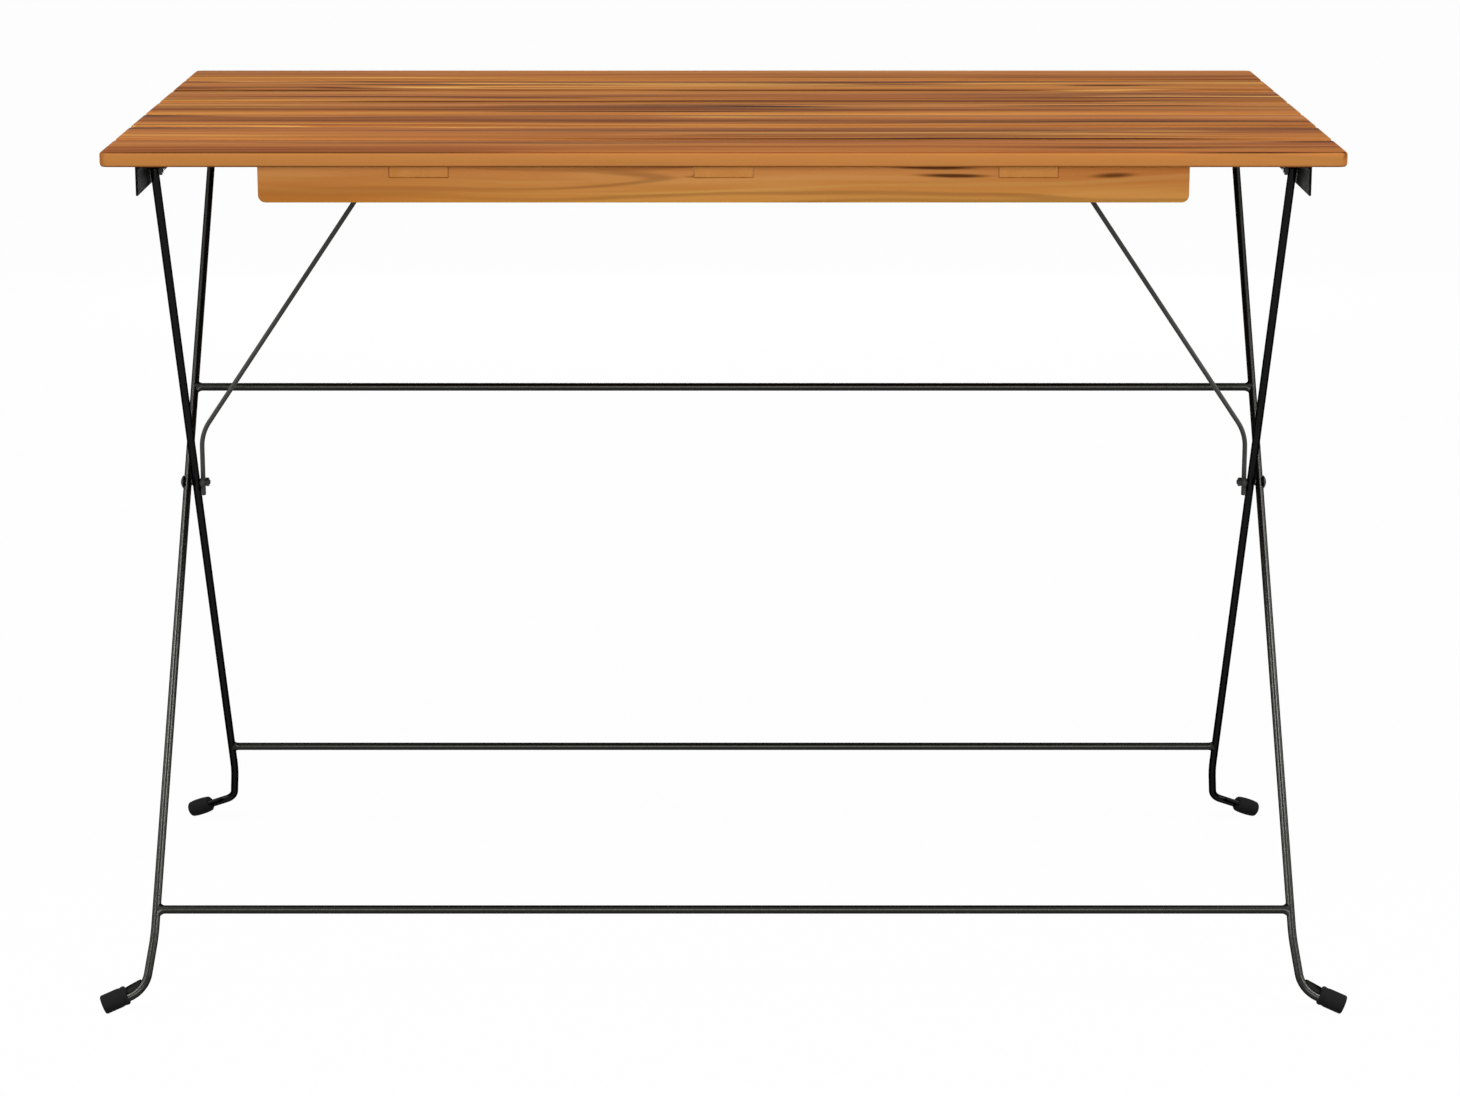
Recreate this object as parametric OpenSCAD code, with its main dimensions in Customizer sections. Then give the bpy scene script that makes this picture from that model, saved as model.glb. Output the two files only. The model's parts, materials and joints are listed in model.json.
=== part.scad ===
// Folding picnic table: a slatted wooden top on a steel-rod scissor stand.
// Frame: +Z up, +X to the right, -Y to the front, where the sitter's knees go.
// The origin is on the floor, at the middle of the table's overall footprint.

/* [Tabletop] */
// Width of the top, along the slats
top_w = 1000; // [850:10:1200]
// Depth of the top, front to back
top_d = 540; // [500:5:640]
// Height of the top above the floor
top_h = 710; // [640:5:760]
// Thickness of a slat
slat_t = 12; // [10:0.5:18]
// Open gap between two slats
slat_gap = 6; // [3:0.5:9]
// Radius of the rounded corners at a slat's ends
slat_end_r = 4; // [1:0.5:4.5]
// Radius of the softened long edges of a slat
slat_edge_r = 2; // [0.5:0.5:3]

/* [Battens and apron] */
// Width of a batten under the slats
batten_w = 48; // [36:1:60]
// Thickness of a batten
batten_t = 13.5; // [11:0.5:18]
// Distance of the outer battens' middle lines from the top's ends
batten_inset = 253; // [230:1:300]
// Distance of the battens' back ends from the back edge
batten_setback = 35; // [25:1:50]
// Distance of the front apron's ends from the top's ends
apron_inset = 122.5; // [90:2.5:180]
// Height of the front apron
apron_h = 34; // [26:1:44]
// Thickness of the front apron
apron_t = 18; // [14:1:22]
// Distance of the apron from the front edge
apron_setback = 35; // [24:1:36]
// Radius of the apron's lower corners
apron_r = 6; // [2:1:8]

/* [Steel angles] */
// Length of a flange, both legs of the angle
angle_leg = 25; // [23:1:26]
// Thickness of the steel angle
angle_t = 2; // [1.5:0.5:2.5]
// Distance of the angle's ends from the top's edges
angle_setback = 12; // [4:1:16]

/* [Stand] */
// Distance of the outer legs' centre lines from the top's ends
leg_setback = 26; // [16:1:75]
// Diameter of the leg rods and crossbars
rod_d = 7; // [6:0.5:8]
// Running gap between two rods that turn against each other
rod_gap = 0.5; // [0.4:0.1:0.8]
// How far the front feet stand out in front of the top
foot_overhang = 60; // [0:5:80]
// Distance between the front and the rear foot caps, centre to centre
foot_spread = 494; // [440:2:520]
// Distance of the front hinge from the top's front edge
hinge_setback = 72; // [68:1:100]
// Depth of the front hinge below the slats
hinge_drop = 13; // [12:0.5:14]
// Distance of the rest bar from the top's back edge
rest_setback = 60; // [56:1:90]
// Height of the outer legs' lower bar above the floor
front_bar_z = 73; // [60:1:120]
// Height of the inner legs' lower bar above the floor
rear_bar_z = 83; // [60:1:120]
// Distance of the outer legs' upper bar from the pivot
upper_bar_reach = 94; // [78:1:110]
// Growth of a weld bead over its bar, on the diameter
weld_d = 5; // [2:0.5:6]
// Length of a weld bead
weld_l = 4; // [2:0.5:6]

/* [Feet] */
// Outward turn of a leg's last stretch
foot_kick = 7; // [4:1:10]
// Height at which that stretch begins
kick_z = 55; // [50:1:58]
// Centre-line radius of the bend where it begins
kick_r = 200; // [120:10:220]
// Centre-line radius of the bend at an outer leg's foot
front_bend_r = 24; // [14:1:25]
// Centre-line radius of the bend at an inner leg's foot
rear_bend_r = 14; // [12:1:20]
// Reach of a foot cap outwards from the outer legs' centre lines
foot_out = 42; // [38:0.5:47]
// Length of a rubber cap
cap_l = 22; // [18:1:26]
// Width of a rubber cap, front to back
cap_w = 17; // [16:0.5:20]
// Thickness of a rubber cap
cap_t = 15.5; // [13:0.5:18]
// Chamfer round the two ends of a rubber cap
cap_ease = 1.8; // [1:0.2:2.6]
// Fall of a foot from the level, outwards
foot_fall = 21; // [15:1:30]
// Fall of a foot from the level, away from the table
foot_tilt = 19; // [5:1:25]
// Turn of a foot away from the table, seen from above
foot_toe = 12; // [0:1:20]
// Thickness of the flattened tongue inside a cap
tongue_t = 3; // [2:0.5:4]
// Width of the flattened tongue
tongue_w = 14; // [10:1:15]

/* [Stays] */
// Diameter of a stay
stay_d = 4.2; // [3.5:0.1:5]
// Length of a stay's tail below the pivot
stay_tail = 12; // [9:1:18]
// Height at which a stay leaves the legs, above the pivot
stay_rise = 44; // [36:1:60]
// Slope of a stay from the vertical
stay_slope = 34; // [28:1:38]
// Bend radius where a stay leaves the legs
stay_bend_r = 40; // [20:1:60]
// Bend radius at a stay's hook
hook_bend_r = 8; // [5:1:12]
// Diameter of the flattened eye on the pivot bolt
stay_eye_d = 10; // [8.5:0.5:11]
// Thickness of a stay keeper's sheet
keeper_t = 1.2; // [1:0.1:1.5]
// Width of a stay keeper, along the batten's width
keeper_w = 10; // [8:1:12]

/* [Fasteners] */
// Shank diameter of the pivot and hinge bolts
bolt_d = 4; // [3.5:0.5:4.5]
// Head diameter of the bolts
bolt_head_d = 11.5; // [9:0.5:13]
// Height of the bolts' domed head
bolt_head_h = 2.7; // [2:0.1:3.2]
// Width of a nut across its flats
nut_af = 7; // [6:0.5:8]
// Thickness of a nut
nut_t = 3.2; // [2.5:0.1:4]
// Shank diameter of the wood screws
screw_d = 3.5; // [3:0.5:4]
// Head diameter of the wood screws
screw_head_d = 7; // [6:0.5:8]
// Height of the wood screws' head
screw_head_h = 2; // [1.5:0.1:2.4]
// Depth that the wood screws bite into a slat
screw_bite = 8; // [6:0.5:8.5]

/* [Hidden] */
$fn = 48;
cap_facets = 48;        // facets round a cap
rod_off = 4;            // distance from a cap's middle to its rod
slat_n = 7;             // slats in the top
batten_n = 3;           // battens under them
bolt_play = 0.08;       // radial play of a bolt in the holes it turns in
seat = 0.3;             // clear gap where a moving piece rests on another
slip = 0.2;             // clearance all round a piece let into another
bite = 0.2;             // depth that a welded bar's end sinks into its leg
eps = 0.01;             // overrun of a cut past a face
swell = 0.04;           // growth of a rod's diameter in a bend
lap = 0.3;              // length that a straight rod runs into a bend

rod_r = rod_d / 2;
stay_r = stay_d / 2;
bolt_r = bolt_d / 2;
hole_r = bolt_r + bolt_play;
screw_r = screw_d / 2;

// the top, from the front edge to the back edge
front_y = -(top_d + foot_overhang) / 2 + foot_overhang;
back_y = front_y + top_d;
under_z = top_h - slat_t;
batten_z = under_z - batten_t;
slat_w = (top_d - (slat_n - 1) * slat_gap) / slat_n;
slat_pitch = slat_w + slat_gap;
function slat_y(i) = front_y + slat_w / 2 + (i - 1) * slat_pitch;
batten_pitch = top_w / 2 - batten_inset;
function batten_x(i) = (i - 2) * batten_pitch;
apron_w = top_w - 2 * apron_inset;
batten_front = front_y + apron_setback;
apron_back = batten_front + apron_t;
// screws sit at the middle of each slat, and behind the apron on the first one
function batten_screw_y(k) = k == 1 ? (apron_back + front_y + slat_w) / 2 : slat_y(k);
batten_back = back_y - batten_setback;

// the planes of the legs, the angles and the stays, outwards from the middle
outer_x = top_w / 2 - leg_setback;
inner_x = outer_x - rod_d - rod_gap;
angle_x = inner_x + rod_r + rod_gap;
stay_x = inner_x - rod_r - rod_gap - stay_r;
washer_t = rod_gap - 0.1;

// a foot cap's own axes: along the foot, across it, and up through it
function turn_x(v, a) = [v.x, v.y * cos(a) - v.z * sin(a), v.y * sin(a) + v.z * cos(a)];
function turn_y(v, a) = [v.x * cos(a) + v.z * sin(a), v.y, v.z * cos(a) - v.x * sin(a)];
function turn_z(v, a) = [v.x * cos(a) - v.y * sin(a), v.x * sin(a) + v.y * cos(a), v.z];
function foot_turns(s) = [-s * foot_tilt, foot_fall, s * foot_toe];
function foot_axis(v, s) = turn_z(turn_y(turn_x(v, -s * foot_tilt), foot_fall), s * foot_toe);

// half of a cap's extent along direction e: the greater of its waist's and its end faces'
function oval_half(e, s, off) =
    norm([(cap_w / 2 - off) * (foot_axis([0, 1, 0], s) * e), (cap_t / 2 - off) * (foot_axis([0, 0, 1], s) * e)]);
function foot_half(e, s) =
    let (along = abs(foot_axis([1, 0, 0], s) * e))
    max((cap_l / 2 - cap_ease) * along + oval_half(e, s, 0), cap_l / 2 * along + oval_half(e, s, cap_ease));

// cap centres: s is -1 for the outer legs, whose feet are in front, and 1 for the inner legs
front = -1;
rear = 1;
cap_x = outer_x + foot_out - foot_half([1, 0, 0], front);
cap_z = foot_half([0, 0, 1], front);
front_cap_y = front_y - foot_overhang + foot_half([0, 1, 0], front);
rear_cap_y = front_cap_y + foot_spread;
function cap_centre(s) = [cap_x, s == front ? front_cap_y : rear_cap_y, cap_z];

// a foot's rod runs beside its cap's middle, on the side away from the table; it meets
// the leg's last stretch, which leans outwards, at the knee
function foot_dir(s) = foot_axis([1, 0, 0], s);
function foot_line(s) = cap_centre(s) + foot_axis([0, s * rod_off, 0], s);
function leg_x(s) = s == front ? outer_x : inner_x;
function knee(s) = foot_line(s) - foot_dir(s)
    * (foot_line(s).x - leg_x(s) - tan(foot_kick) * (kick_z - foot_line(s).z))
    / (foot_dir(s).x + tan(foot_kick) * foot_dir(s).z);

// the hinge, the rest bar and the pivot where the two leg lines cross
hinge_y = front_y + hinge_setback;
hinge_z = under_z - hinge_drop;
rest_y = back_y - rest_setback;
rest_z = batten_z - seat - rod_r;
outer_slope = (rest_y - knee(front).y) / (rest_z - knee(front).z);
inner_slope = (hinge_y - knee(rear).y) / (hinge_z - knee(rear).z);
pivot_z = (knee(rear).y - knee(front).y + outer_slope * knee(front).z - inner_slope * knee(rear).z)
    / (outer_slope - inner_slope);
pivot_y = knee(front).y + outer_slope * (pivot_z - knee(front).z);
outer_lean = atan(outer_slope);
inner_lean = atan(inner_slope);
function outer_point(z) = [outer_x, pivot_y + outer_slope * (z - pivot_z), z];
function inner_point(z) = [inner_x, pivot_y + inner_slope * (z - pivot_z), z];
upper_bar_z = pivot_z + upper_bar_reach * cos(outer_lean);
leg_end = 3.5;          // length of a leg above its hinge or rest bar

// the stays, in the upright plane through the pivot
bend_z = pivot_z + stay_rise;
hook_z = batten_z - keeper_t - seat - stay_r;
hook_x = stay_x - (hook_z - bend_z) * tan(stay_slope);
keeper_x = batten_pitch + batten_w / 2 - keeper_w / 2 - 3;
hook_end_x = keeper_x - keeper_w / 2 - 1;

wood = "#b8743c";
wood_dark = "#a8642f";
steel = "#2e2d2b";
rubber = "#1c1c1c";

// ---- shared shapes ----

// its child as it is on the right, and mirrored on the left
module on_side(side) {
    if (side == "left") mirror([1, 0, 0]) children();
    else children();
}

// a round bar from a to b
module bar(a, b, d) {
    v = b - a;
    translate(a)
        rotate([0, acos(v.z / norm(v)), atan2(v.y, v.x)])
            cylinder(d = d, h = norm(v));
}

function unit(v) = v / norm(v);
function bend_angle(u, w) = acos(unit(u) * unit(w));
function bend_cut(u, w, r) = r * tan(bend_angle(u, w) / 2);

// the round elbow at point p, from direction u to direction w
module elbow(p, u, w, r, d) {
    along = unit(u);
    inward = unit(unit(w) - along * (along * unit(w)));
    side = cross(-inward, along);
    centre = p - along * bend_cut(u, w, r) + inward * r;
    multmatrix([[-inward.x, along.x, side.x, centre.x],
                [-inward.y, along.y, side.y, centre.y],
                [-inward.z, along.z, side.z, centre.z]])
        rotate_extrude(angle = bend_angle(u, w))
            translate([r, 0]) circle(d = d + swell);
}

// a bent round rod through the points, with one bend radius for each inner point
module bent_rod(points, radii, d) {
    last = len(points) - 1;
    cut = [for (i = [0:last]) i == 0 || i == last ? 0
        : bend_cut(points[i] - points[i - 1], points[i + 1] - points[i], radii[i - 1])];
    for (i = [0:last - 1]) {
        v = unit(points[i + 1] - points[i]);
        bar(points[i] + v * max(cut[i] - lap, 0), points[i + 1] - v * max(cut[i + 1] - lap, 0), d);
    }
    for (i = [1:last - 1])
        elbow(points[i], points[i] - points[i - 1], points[i + 1] - points[i], radii[i - 1], d);
}

// a rectangle with round corners, centred
module round_rect(w, h, r) {
    square([w - 2 * r, h], center = true);
    square([w, h - 2 * r], center = true);
    for (x = [-1, 1], y = [-1, 1])
        translate([x * (w / 2 - r), y * (h / 2 - r)]) circle(r);
}

// a hole for a bolt that turns, along X at a leg's height
module cross_hole(y, z) {
    translate([0, y, z]) rotate([0, 90, 0]) cylinder(r = hole_r, h = top_w);
}

// ---- the top ----

module slat(i) {
    color(i % 2 == 0 ? wood : wood_dark)
    translate([0, slat_y(i), top_h - slat_t / 2])
    intersection() {
        rotate([90, 0, 0]) linear_extrude(slat_w, center = true)
            round_rect(top_w, slat_t, slat_end_r);
        rotate([90, 0, 90]) linear_extrude(top_w, center = true)
            round_rect(slat_w, slat_t, slat_edge_r);
    }
}

module batten(i) {
    color(wood_dark)
    difference() {
        translate([batten_x(i) - batten_w / 2, batten_front, batten_z])
            cube([batten_w, batten_back - batten_front, batten_t]);
        for (k = [1:slat_n])
            translate([batten_x(i), batten_screw_y(k), batten_z - eps])
                cylinder(r = screw_r + slip, h = batten_t + 2 * eps);
    }
}

// front board with rounded lower corners, notched round the batten ends
module front_apron() {
    color(wood)
    difference() {
        translate([0, apron_back, under_z - apron_h])
            rotate([90, 0, 0]) linear_extrude(apron_t)
                union() {
                    translate([-apron_w / 2, apron_r]) square([apron_w, apron_h - apron_r]);
                    translate([-apron_w / 2 + apron_r, 0]) square([apron_w - 2 * apron_r, apron_r]);
                    for (x = [-1, 1])
                        translate([x * (apron_w / 2 - apron_r), apron_r]) circle(apron_r);
                }
        for (i = [1:batten_n])
            translate([batten_x(i) - batten_w / 2 - slip, batten_front - 1, batten_z - slip])
                cube([batten_w + 2 * slip, apron_t + 2, batten_t + 2 * slip]);
    }
}

angle_front = front_y + angle_setback;
angle_len = top_d - 2 * angle_setback;
bead_r = (rod_d + weld_d) / 2;
notch_front = 12;       // room that the bar needs in front of it as the top tilts up
notch_back = bead_r + seat;
notch_top = rest_z + bead_r + seat;
screw_line_x = angle_x + angle_t - angle_leg + 7;

// steel angle: an upright flange outside the inner leg and a flat flange under the slats
module angle_bar(side) {
    color(steel) on_side(side)
    difference() {
        translate([0, angle_front, under_z]) {
            translate([angle_x, 0, -angle_leg]) cube([angle_t, angle_len, angle_leg]);
            translate([angle_x + angle_t - angle_leg, 0, -angle_t])
                cube([angle_leg, angle_len, angle_t]);
        }
        translate([angle_x - 1, rest_y - notch_front, under_z - angle_leg - 1])
            cube([angle_t + 2, notch_front + notch_back, notch_top - under_z + angle_leg + 1]);
        cross_hole(hinge_y, hinge_z);
        for (k = [1:slat_n])
            translate([screw_line_x, slat_y(k), under_z - angle_t - 1])
                cylinder(r = screw_r + slip, h = angle_t + 2);
    }
}

// a pan-head wood screw, head down, with its head's seat at the origin
module wood_screw(length) {
    cylinder(r = screw_r, h = length);
    translate([0, 0, -screw_head_h]) cylinder(d1 = screw_head_d - 2, d2 = screw_head_d, h = screw_head_h);
}

module batten_screws() {
    color(steel)
    for (i = [1:batten_n], k = [1:slat_n])
        translate([batten_x(i), batten_screw_y(k), batten_z]) wood_screw(batten_t + screw_bite);
}

module angle_bar_screws() {
    color(steel)
    for (x = [-1, 1], k = [1:slat_n])
        translate([x * screw_line_x, slat_y(k), under_z - angle_t]) wood_screw(angle_t + screw_bite);
}

// ---- the stand ----

// a cap-shaped frame of its own: X along the foot, Y across it
module at_cap(s) {
    translate(cap_centre(s)) rotate(foot_turns(s)) children();
}

tongue_end = cap_l / 2 - 3;         // the tongue stops short of the cap's tip
web_l = 11;                         // reach of the tongue's web back to the bend
web_w = 11;                         // its width from the foot's middle, towards the table
plug_l = 4;                         // how far the round rod runs into the cap
function rod_end(s) = foot_line(s) - foot_dir(s) * (cap_l / 2 - plug_l);

// flattened end of a leg: a tongue in the cap, and a web that fills the crook of the bend
module foot_plate(s) {
    at_cap(s) translate([0, 0, -tongue_t / 2]) linear_extrude(tongue_t)
        mirror([0, s == rear ? 1 : 0])
        polygon([[tongue_end, -tongue_w / 2], [tongue_end, tongue_w / 2], [-cap_l / 2, tongue_w / 2],
                 [-cap_l / 2 - 1, cap_w / 2], [-cap_l / 2 - web_l, web_w],
                 [-cap_l / 2 - web_l + 2, -rod_off], [-cap_l / 2 - 1, -tongue_w / 2]]);
}

// a leg from the foot's bend to its upper end, drilled for the pivot
module outer_leg(side) {
    top_end = outer_point(rest_z) + unit(outer_point(rest_z) - outer_point(0)) * leg_end;
    color(steel) on_side(side)
    difference() {
        union() {
            bent_rod([top_end, outer_point(kick_z), knee(front), rod_end(front)],
                     [kick_r, front_bend_r], rod_d);
            foot_plate(front);
        }
        cross_hole(pivot_y, pivot_z);
    }
}

module inner_leg(side) {
    top_end = inner_point(hinge_z) + unit(inner_point(hinge_z) - inner_point(0)) * leg_end;
    color(steel) on_side(side)
    difference() {
        union() {
            bent_rod([top_end, inner_point(kick_z), knee(rear), rod_end(rear)],
                     [kick_r, rear_bend_r], rod_d);
            foot_plate(rear);
        }
        cross_hole(pivot_y, pivot_z);
        cross_hole(hinge_y, hinge_z);
    }
}

// a crossbar at point p of the right leg, with weld beads, cut to the legs it meets
module crossbar(p, lean) {
    color(steel)
    difference() {
        translate(p) {
            translate([-2 * p.x, 0, 0]) rotate([0, 90, 0]) cylinder(d = rod_d, h = 2 * p.x);
            for (side = ["left", "right"])
                translate([side == "left" ? -2 * p.x : 0, 0, 0])
                    rotate([0, side == "left" ? 90 : -90, 0])
                        translate([0, 0, rod_r - weld_l / 4])
                            cylinder(d1 = rod_d + weld_d, d2 = rod_d, h = weld_l);
        }
        for (x = [-1, 1])
            translate([x * p.x, p.y, p.z]) rotate([-lean, 0, 0])
                cylinder(r = rod_r - bite, h = 60, center = true);
        for (x = [-1, 1])
            translate([x * (p.x + 50), p.y, p.z]) cube([100, 100, 100], center = true);
    }
}

module outer_lower_bar() crossbar(outer_point(front_bar_z), outer_lean);
module outer_upper_bar() crossbar(outer_point(upper_bar_z), outer_lean);
module rest_bar() crossbar(outer_point(rest_z), outer_lean);
module inner_lower_bar() crossbar(inner_point(rear_bar_z), inner_lean);

// oval rubber cap with chamfered ends and a pocket for the tongue
module foot_cap(side, s) {
    color(rubber) on_side(side)
    difference() {
        at_cap(s) hull()
            for (off = [0, cap_ease])
                rotate([0, 90, 0]) linear_extrude(cap_l - 2 * (cap_ease - off), center = true)
                    scale([cap_t / 2 - off, cap_w / 2 - off]) circle(1, $fn = cap_facets);
        at_cap(s) translate([-cap_l / 2 - 1, -tongue_w / 2 - slip, -tongue_t / 2 - slip])
            cube([cap_l / 2 + 1 + tongue_end + slip, tongue_w + 2 * slip, tongue_t + 2 * slip]);
        bar(knee(s), rod_end(s) + foot_dir(s) * slip, rod_d + 2 * slip);
    }
}

// ---- bolts, nuts and washers ----

// bolt with a domed head, head outwards, from the outer face to the end of its nut
module bolt(y, z, outer_face, inner_face) {
    head_r = bolt_head_d / 2;
    dome_r = (head_r * head_r + bolt_head_h * bolt_head_h) / (2 * bolt_head_h);
    translate([0, y, z]) rotate([0, 90, 0]) {
        translate([0, 0, inner_face - nut_t - 1]) cylinder(r = bolt_r, h = outer_face - inner_face + nut_t + 1 + eps);
        translate([0, 0, outer_face])
            rotate_extrude()
                intersection() {
                    translate([0, bolt_head_h - dome_r]) circle(dome_r, $fn = 96);
                    square([head_r, bolt_head_h]);
                }
    }
}

module nut(y, z, inner_face) {
    translate([inner_face - nut_t, y, z]) rotate([0, 90, 0])
        difference() {
            cylinder(d = nut_af / cos(30), h = nut_t, $fn = 6);
            translate([0, 0, -1]) cylinder(r = bolt_r, h = nut_t + 2);
        }
}

module washer(x, y, z, r) {
    translate([x - washer_t / 2, y, z]) rotate([0, 90, 0])
        difference() {
            cylinder(r = r, h = washer_t);
            translate([0, 0, -1]) cylinder(r = hole_r, h = washer_t + 2);
        }
}

pivot_outer = outer_x + rod_r;
pivot_inner = stay_x - stay_r;
hinge_outer = angle_x + angle_t;
hinge_inner = inner_x - rod_r;
washer_r = rod_r - 0.2;

module pivot_bolt(side) color(steel) on_side(side) bolt(pivot_y, pivot_z, pivot_outer, pivot_inner);
module pivot_nut(side) color(steel) on_side(side) nut(pivot_y, pivot_z, pivot_inner - seat / 3);
module hinge_bolt(side) color(steel) on_side(side) bolt(hinge_y, hinge_z, hinge_outer, hinge_inner);
module hinge_nut(side) color(steel) on_side(side) nut(hinge_y, hinge_z, hinge_inner - seat / 3);

module pivot_washers() {
    color(steel)
    for (side = ["left", "right"]) on_side(side) {
        washer(outer_x - rod_r - rod_gap / 2, pivot_y, pivot_z, washer_r);
        washer(inner_x - rod_r - rod_gap / 2, pivot_y, pivot_z, washer_r);
    }
}

module hinge_washers() {
    color(steel)
    for (side = ["left", "right"]) on_side(side)
        washer(inner_x + rod_r + rod_gap / 2, hinge_y, hinge_z, washer_r);
}

// ---- stays and their keepers ----

// a stay: tail, eye on the pivot bolt, sloping rod and a hook under the batten
module stay(side) {
    color(steel) on_side(side)
    difference() {
        union() {
            bent_rod([[stay_x, pivot_y, pivot_z - stay_tail], [stay_x, pivot_y, bend_z],
                      [hook_x, pivot_y, hook_z], [hook_end_x, pivot_y, hook_z]],
                     [stay_bend_r, hook_bend_r], stay_d);
            translate([stay_x - stay_r, pivot_y, pivot_z]) rotate([0, 90, 0])
                cylinder(d = stay_eye_d, h = stay_d);
        }
        cross_hole(pivot_y, pivot_z);
    }
}

keeper_lip = 5;         // depth of the lip behind the hook
keeper_catch = 2.2;     // depth of the shallow lip in front of it
keeper_back = 9;        // length of the screwed tab behind the lip

// folded keeper: a tab screwed to the batten, a web over the hook and a lip on each side of it
module stay_keeper(side) {
    lip_y = pivot_y + stay_r + seat;
    catch_y = pivot_y - stay_r - 1.3 - keeper_t;
    color(steel) on_side(side)
    difference() {
        translate([keeper_x - keeper_w / 2, 0, batten_z - keeper_t]) {
            translate([0, catch_y, 0]) cube([keeper_w, lip_y + keeper_t + keeper_back - catch_y, keeper_t]);
            translate([0, lip_y, -keeper_lip]) cube([keeper_w, keeper_t, keeper_lip]);
            translate([0, catch_y, -keeper_catch]) cube([keeper_w, keeper_t, keeper_catch]);
        }
        translate([keeper_x, keeper_screw_y, batten_z - keeper_t - 1])
            cylinder(r = keeper_screw_r + slip, h = keeper_t + 2);
    }
}

keeper_screw_y = pivot_y + stay_r + seat + keeper_t + keeper_back / 2;
keeper_screw_r = 1.25;

// short screws that hold the keepers to the battens
module keeper_screws() {
    color(steel)
    for (x = [-1, 1])
        translate([x * keeper_x, keeper_screw_y, batten_z - keeper_t]) {
            cylinder(r = keeper_screw_r, h = keeper_t + 7);
            translate([0, 0, -1.4]) cylinder(d1 = 3.6, d2 = 5, h = 1.4);
        }
}

// ---- drawing ----

for (i = [1:slat_n])
    slat(i);
batten(1);  // batten_left
batten(2);  // batten_centre
batten(3);  // batten_right
front_apron();
angle_bar("left");  // angle_bar_left
angle_bar("right");  // angle_bar_right
batten_screws();
angle_bar_screws();
outer_leg("left");  // outer_leg_left
outer_leg("right");  // outer_leg_right
outer_lower_bar();
outer_upper_bar();
rest_bar();
inner_leg("left");  // inner_leg_left
inner_leg("right");  // inner_leg_right
inner_lower_bar();
pivot_bolt("left");  // pivot_bolt_left
pivot_bolt("right");  // pivot_bolt_right
pivot_nut("left");  // pivot_nut_left
pivot_nut("right");  // pivot_nut_right
pivot_washers();
hinge_bolt("left");  // hinge_bolt_left
hinge_bolt("right");  // hinge_bolt_right
hinge_nut("left");  // hinge_nut_left
hinge_nut("right");  // hinge_nut_right
hinge_washers();
stay("left");  // stay_left
stay("right");  // stay_right
stay_keeper("left");  // stay_keeper_left
stay_keeper("right");  // stay_keeper_right
keeper_screws();
foot_cap("left", front);  // front_cap_left
foot_cap("right", front);  // front_cap_right
foot_cap("left", rear);  // rear_cap_left
foot_cap("right", rear);  // rear_cap_right
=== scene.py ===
"""Folding picnic table: the visible pieces and finishes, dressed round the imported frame.

Metres throughout. +Z is up, +X runs to the right along the slats and -Y is the front.
Each sub-assembly is a class that reads its places from the frame, builds its surfaces
with numpy and hands them over as named pieces that ride on the frame's bodies.
"""

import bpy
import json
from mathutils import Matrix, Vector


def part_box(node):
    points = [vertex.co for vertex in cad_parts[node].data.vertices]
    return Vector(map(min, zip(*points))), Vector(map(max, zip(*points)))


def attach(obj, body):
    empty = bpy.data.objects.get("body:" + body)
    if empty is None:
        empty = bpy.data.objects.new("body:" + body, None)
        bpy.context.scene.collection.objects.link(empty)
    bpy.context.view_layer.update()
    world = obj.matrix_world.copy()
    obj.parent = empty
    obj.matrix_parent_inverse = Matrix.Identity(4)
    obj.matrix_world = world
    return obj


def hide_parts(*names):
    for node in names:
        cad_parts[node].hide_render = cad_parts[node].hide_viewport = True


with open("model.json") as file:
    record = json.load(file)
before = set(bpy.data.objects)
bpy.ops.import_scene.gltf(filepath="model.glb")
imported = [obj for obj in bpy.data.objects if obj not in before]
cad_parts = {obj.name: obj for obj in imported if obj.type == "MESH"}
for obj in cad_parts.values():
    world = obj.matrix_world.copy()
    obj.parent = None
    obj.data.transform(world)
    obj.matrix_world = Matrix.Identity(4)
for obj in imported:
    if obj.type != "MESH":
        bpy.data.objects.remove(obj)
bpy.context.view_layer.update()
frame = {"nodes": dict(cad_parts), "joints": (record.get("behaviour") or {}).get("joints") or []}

import json
import logging
import math
from dataclasses import dataclass, field
from enum import Enum
from typing import Any, Iterable, Sequence

import bmesh
import bpy
import numpy as np
from mathutils import Vector

Array = np.ndarray
RIGHTWARDS, UPWARDS = np.array([1.0, 0.0, 0.0]), np.array([0.0, 0.0, 1.0])
MM = 0.001
WELD_DISTANCE = 1e-7        # points nearer than this are one
log = logging.getLogger("picnic_table")


# ---- places shared by the sub-assemblies ----


class Side(Enum):
    """The two ends of the table, as the sign of X."""

    LEFT = -1
    RIGHT = 1

    @property
    def word(self) -> str:
        """The side's name as the frame's nodes write it."""
        return self.name.lower()


class Foot(Enum):
    """The two pairs of feet, as the way they turn: the outer legs stand in front."""

    FRONT = -1
    REAR = 1


def joint_place(name: str) -> Array:
    """Returns the Y and Z of a joint's axis, which all run along X."""
    found = next(j for j in frame["joints"] if j["name"] == name)
    return np.array(found["pos_m"][1:], float)


def node_box(name: str) -> tuple[Array, Array]:
    """Returns the lowest and highest corner of a CAD node."""
    low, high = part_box(name)
    return np.array(low), np.array(high)


def node_middle(name: str) -> Array:
    """Returns the middle of a CAD node's box."""
    low, high = node_box(name)
    return (low + high) / 2


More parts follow.
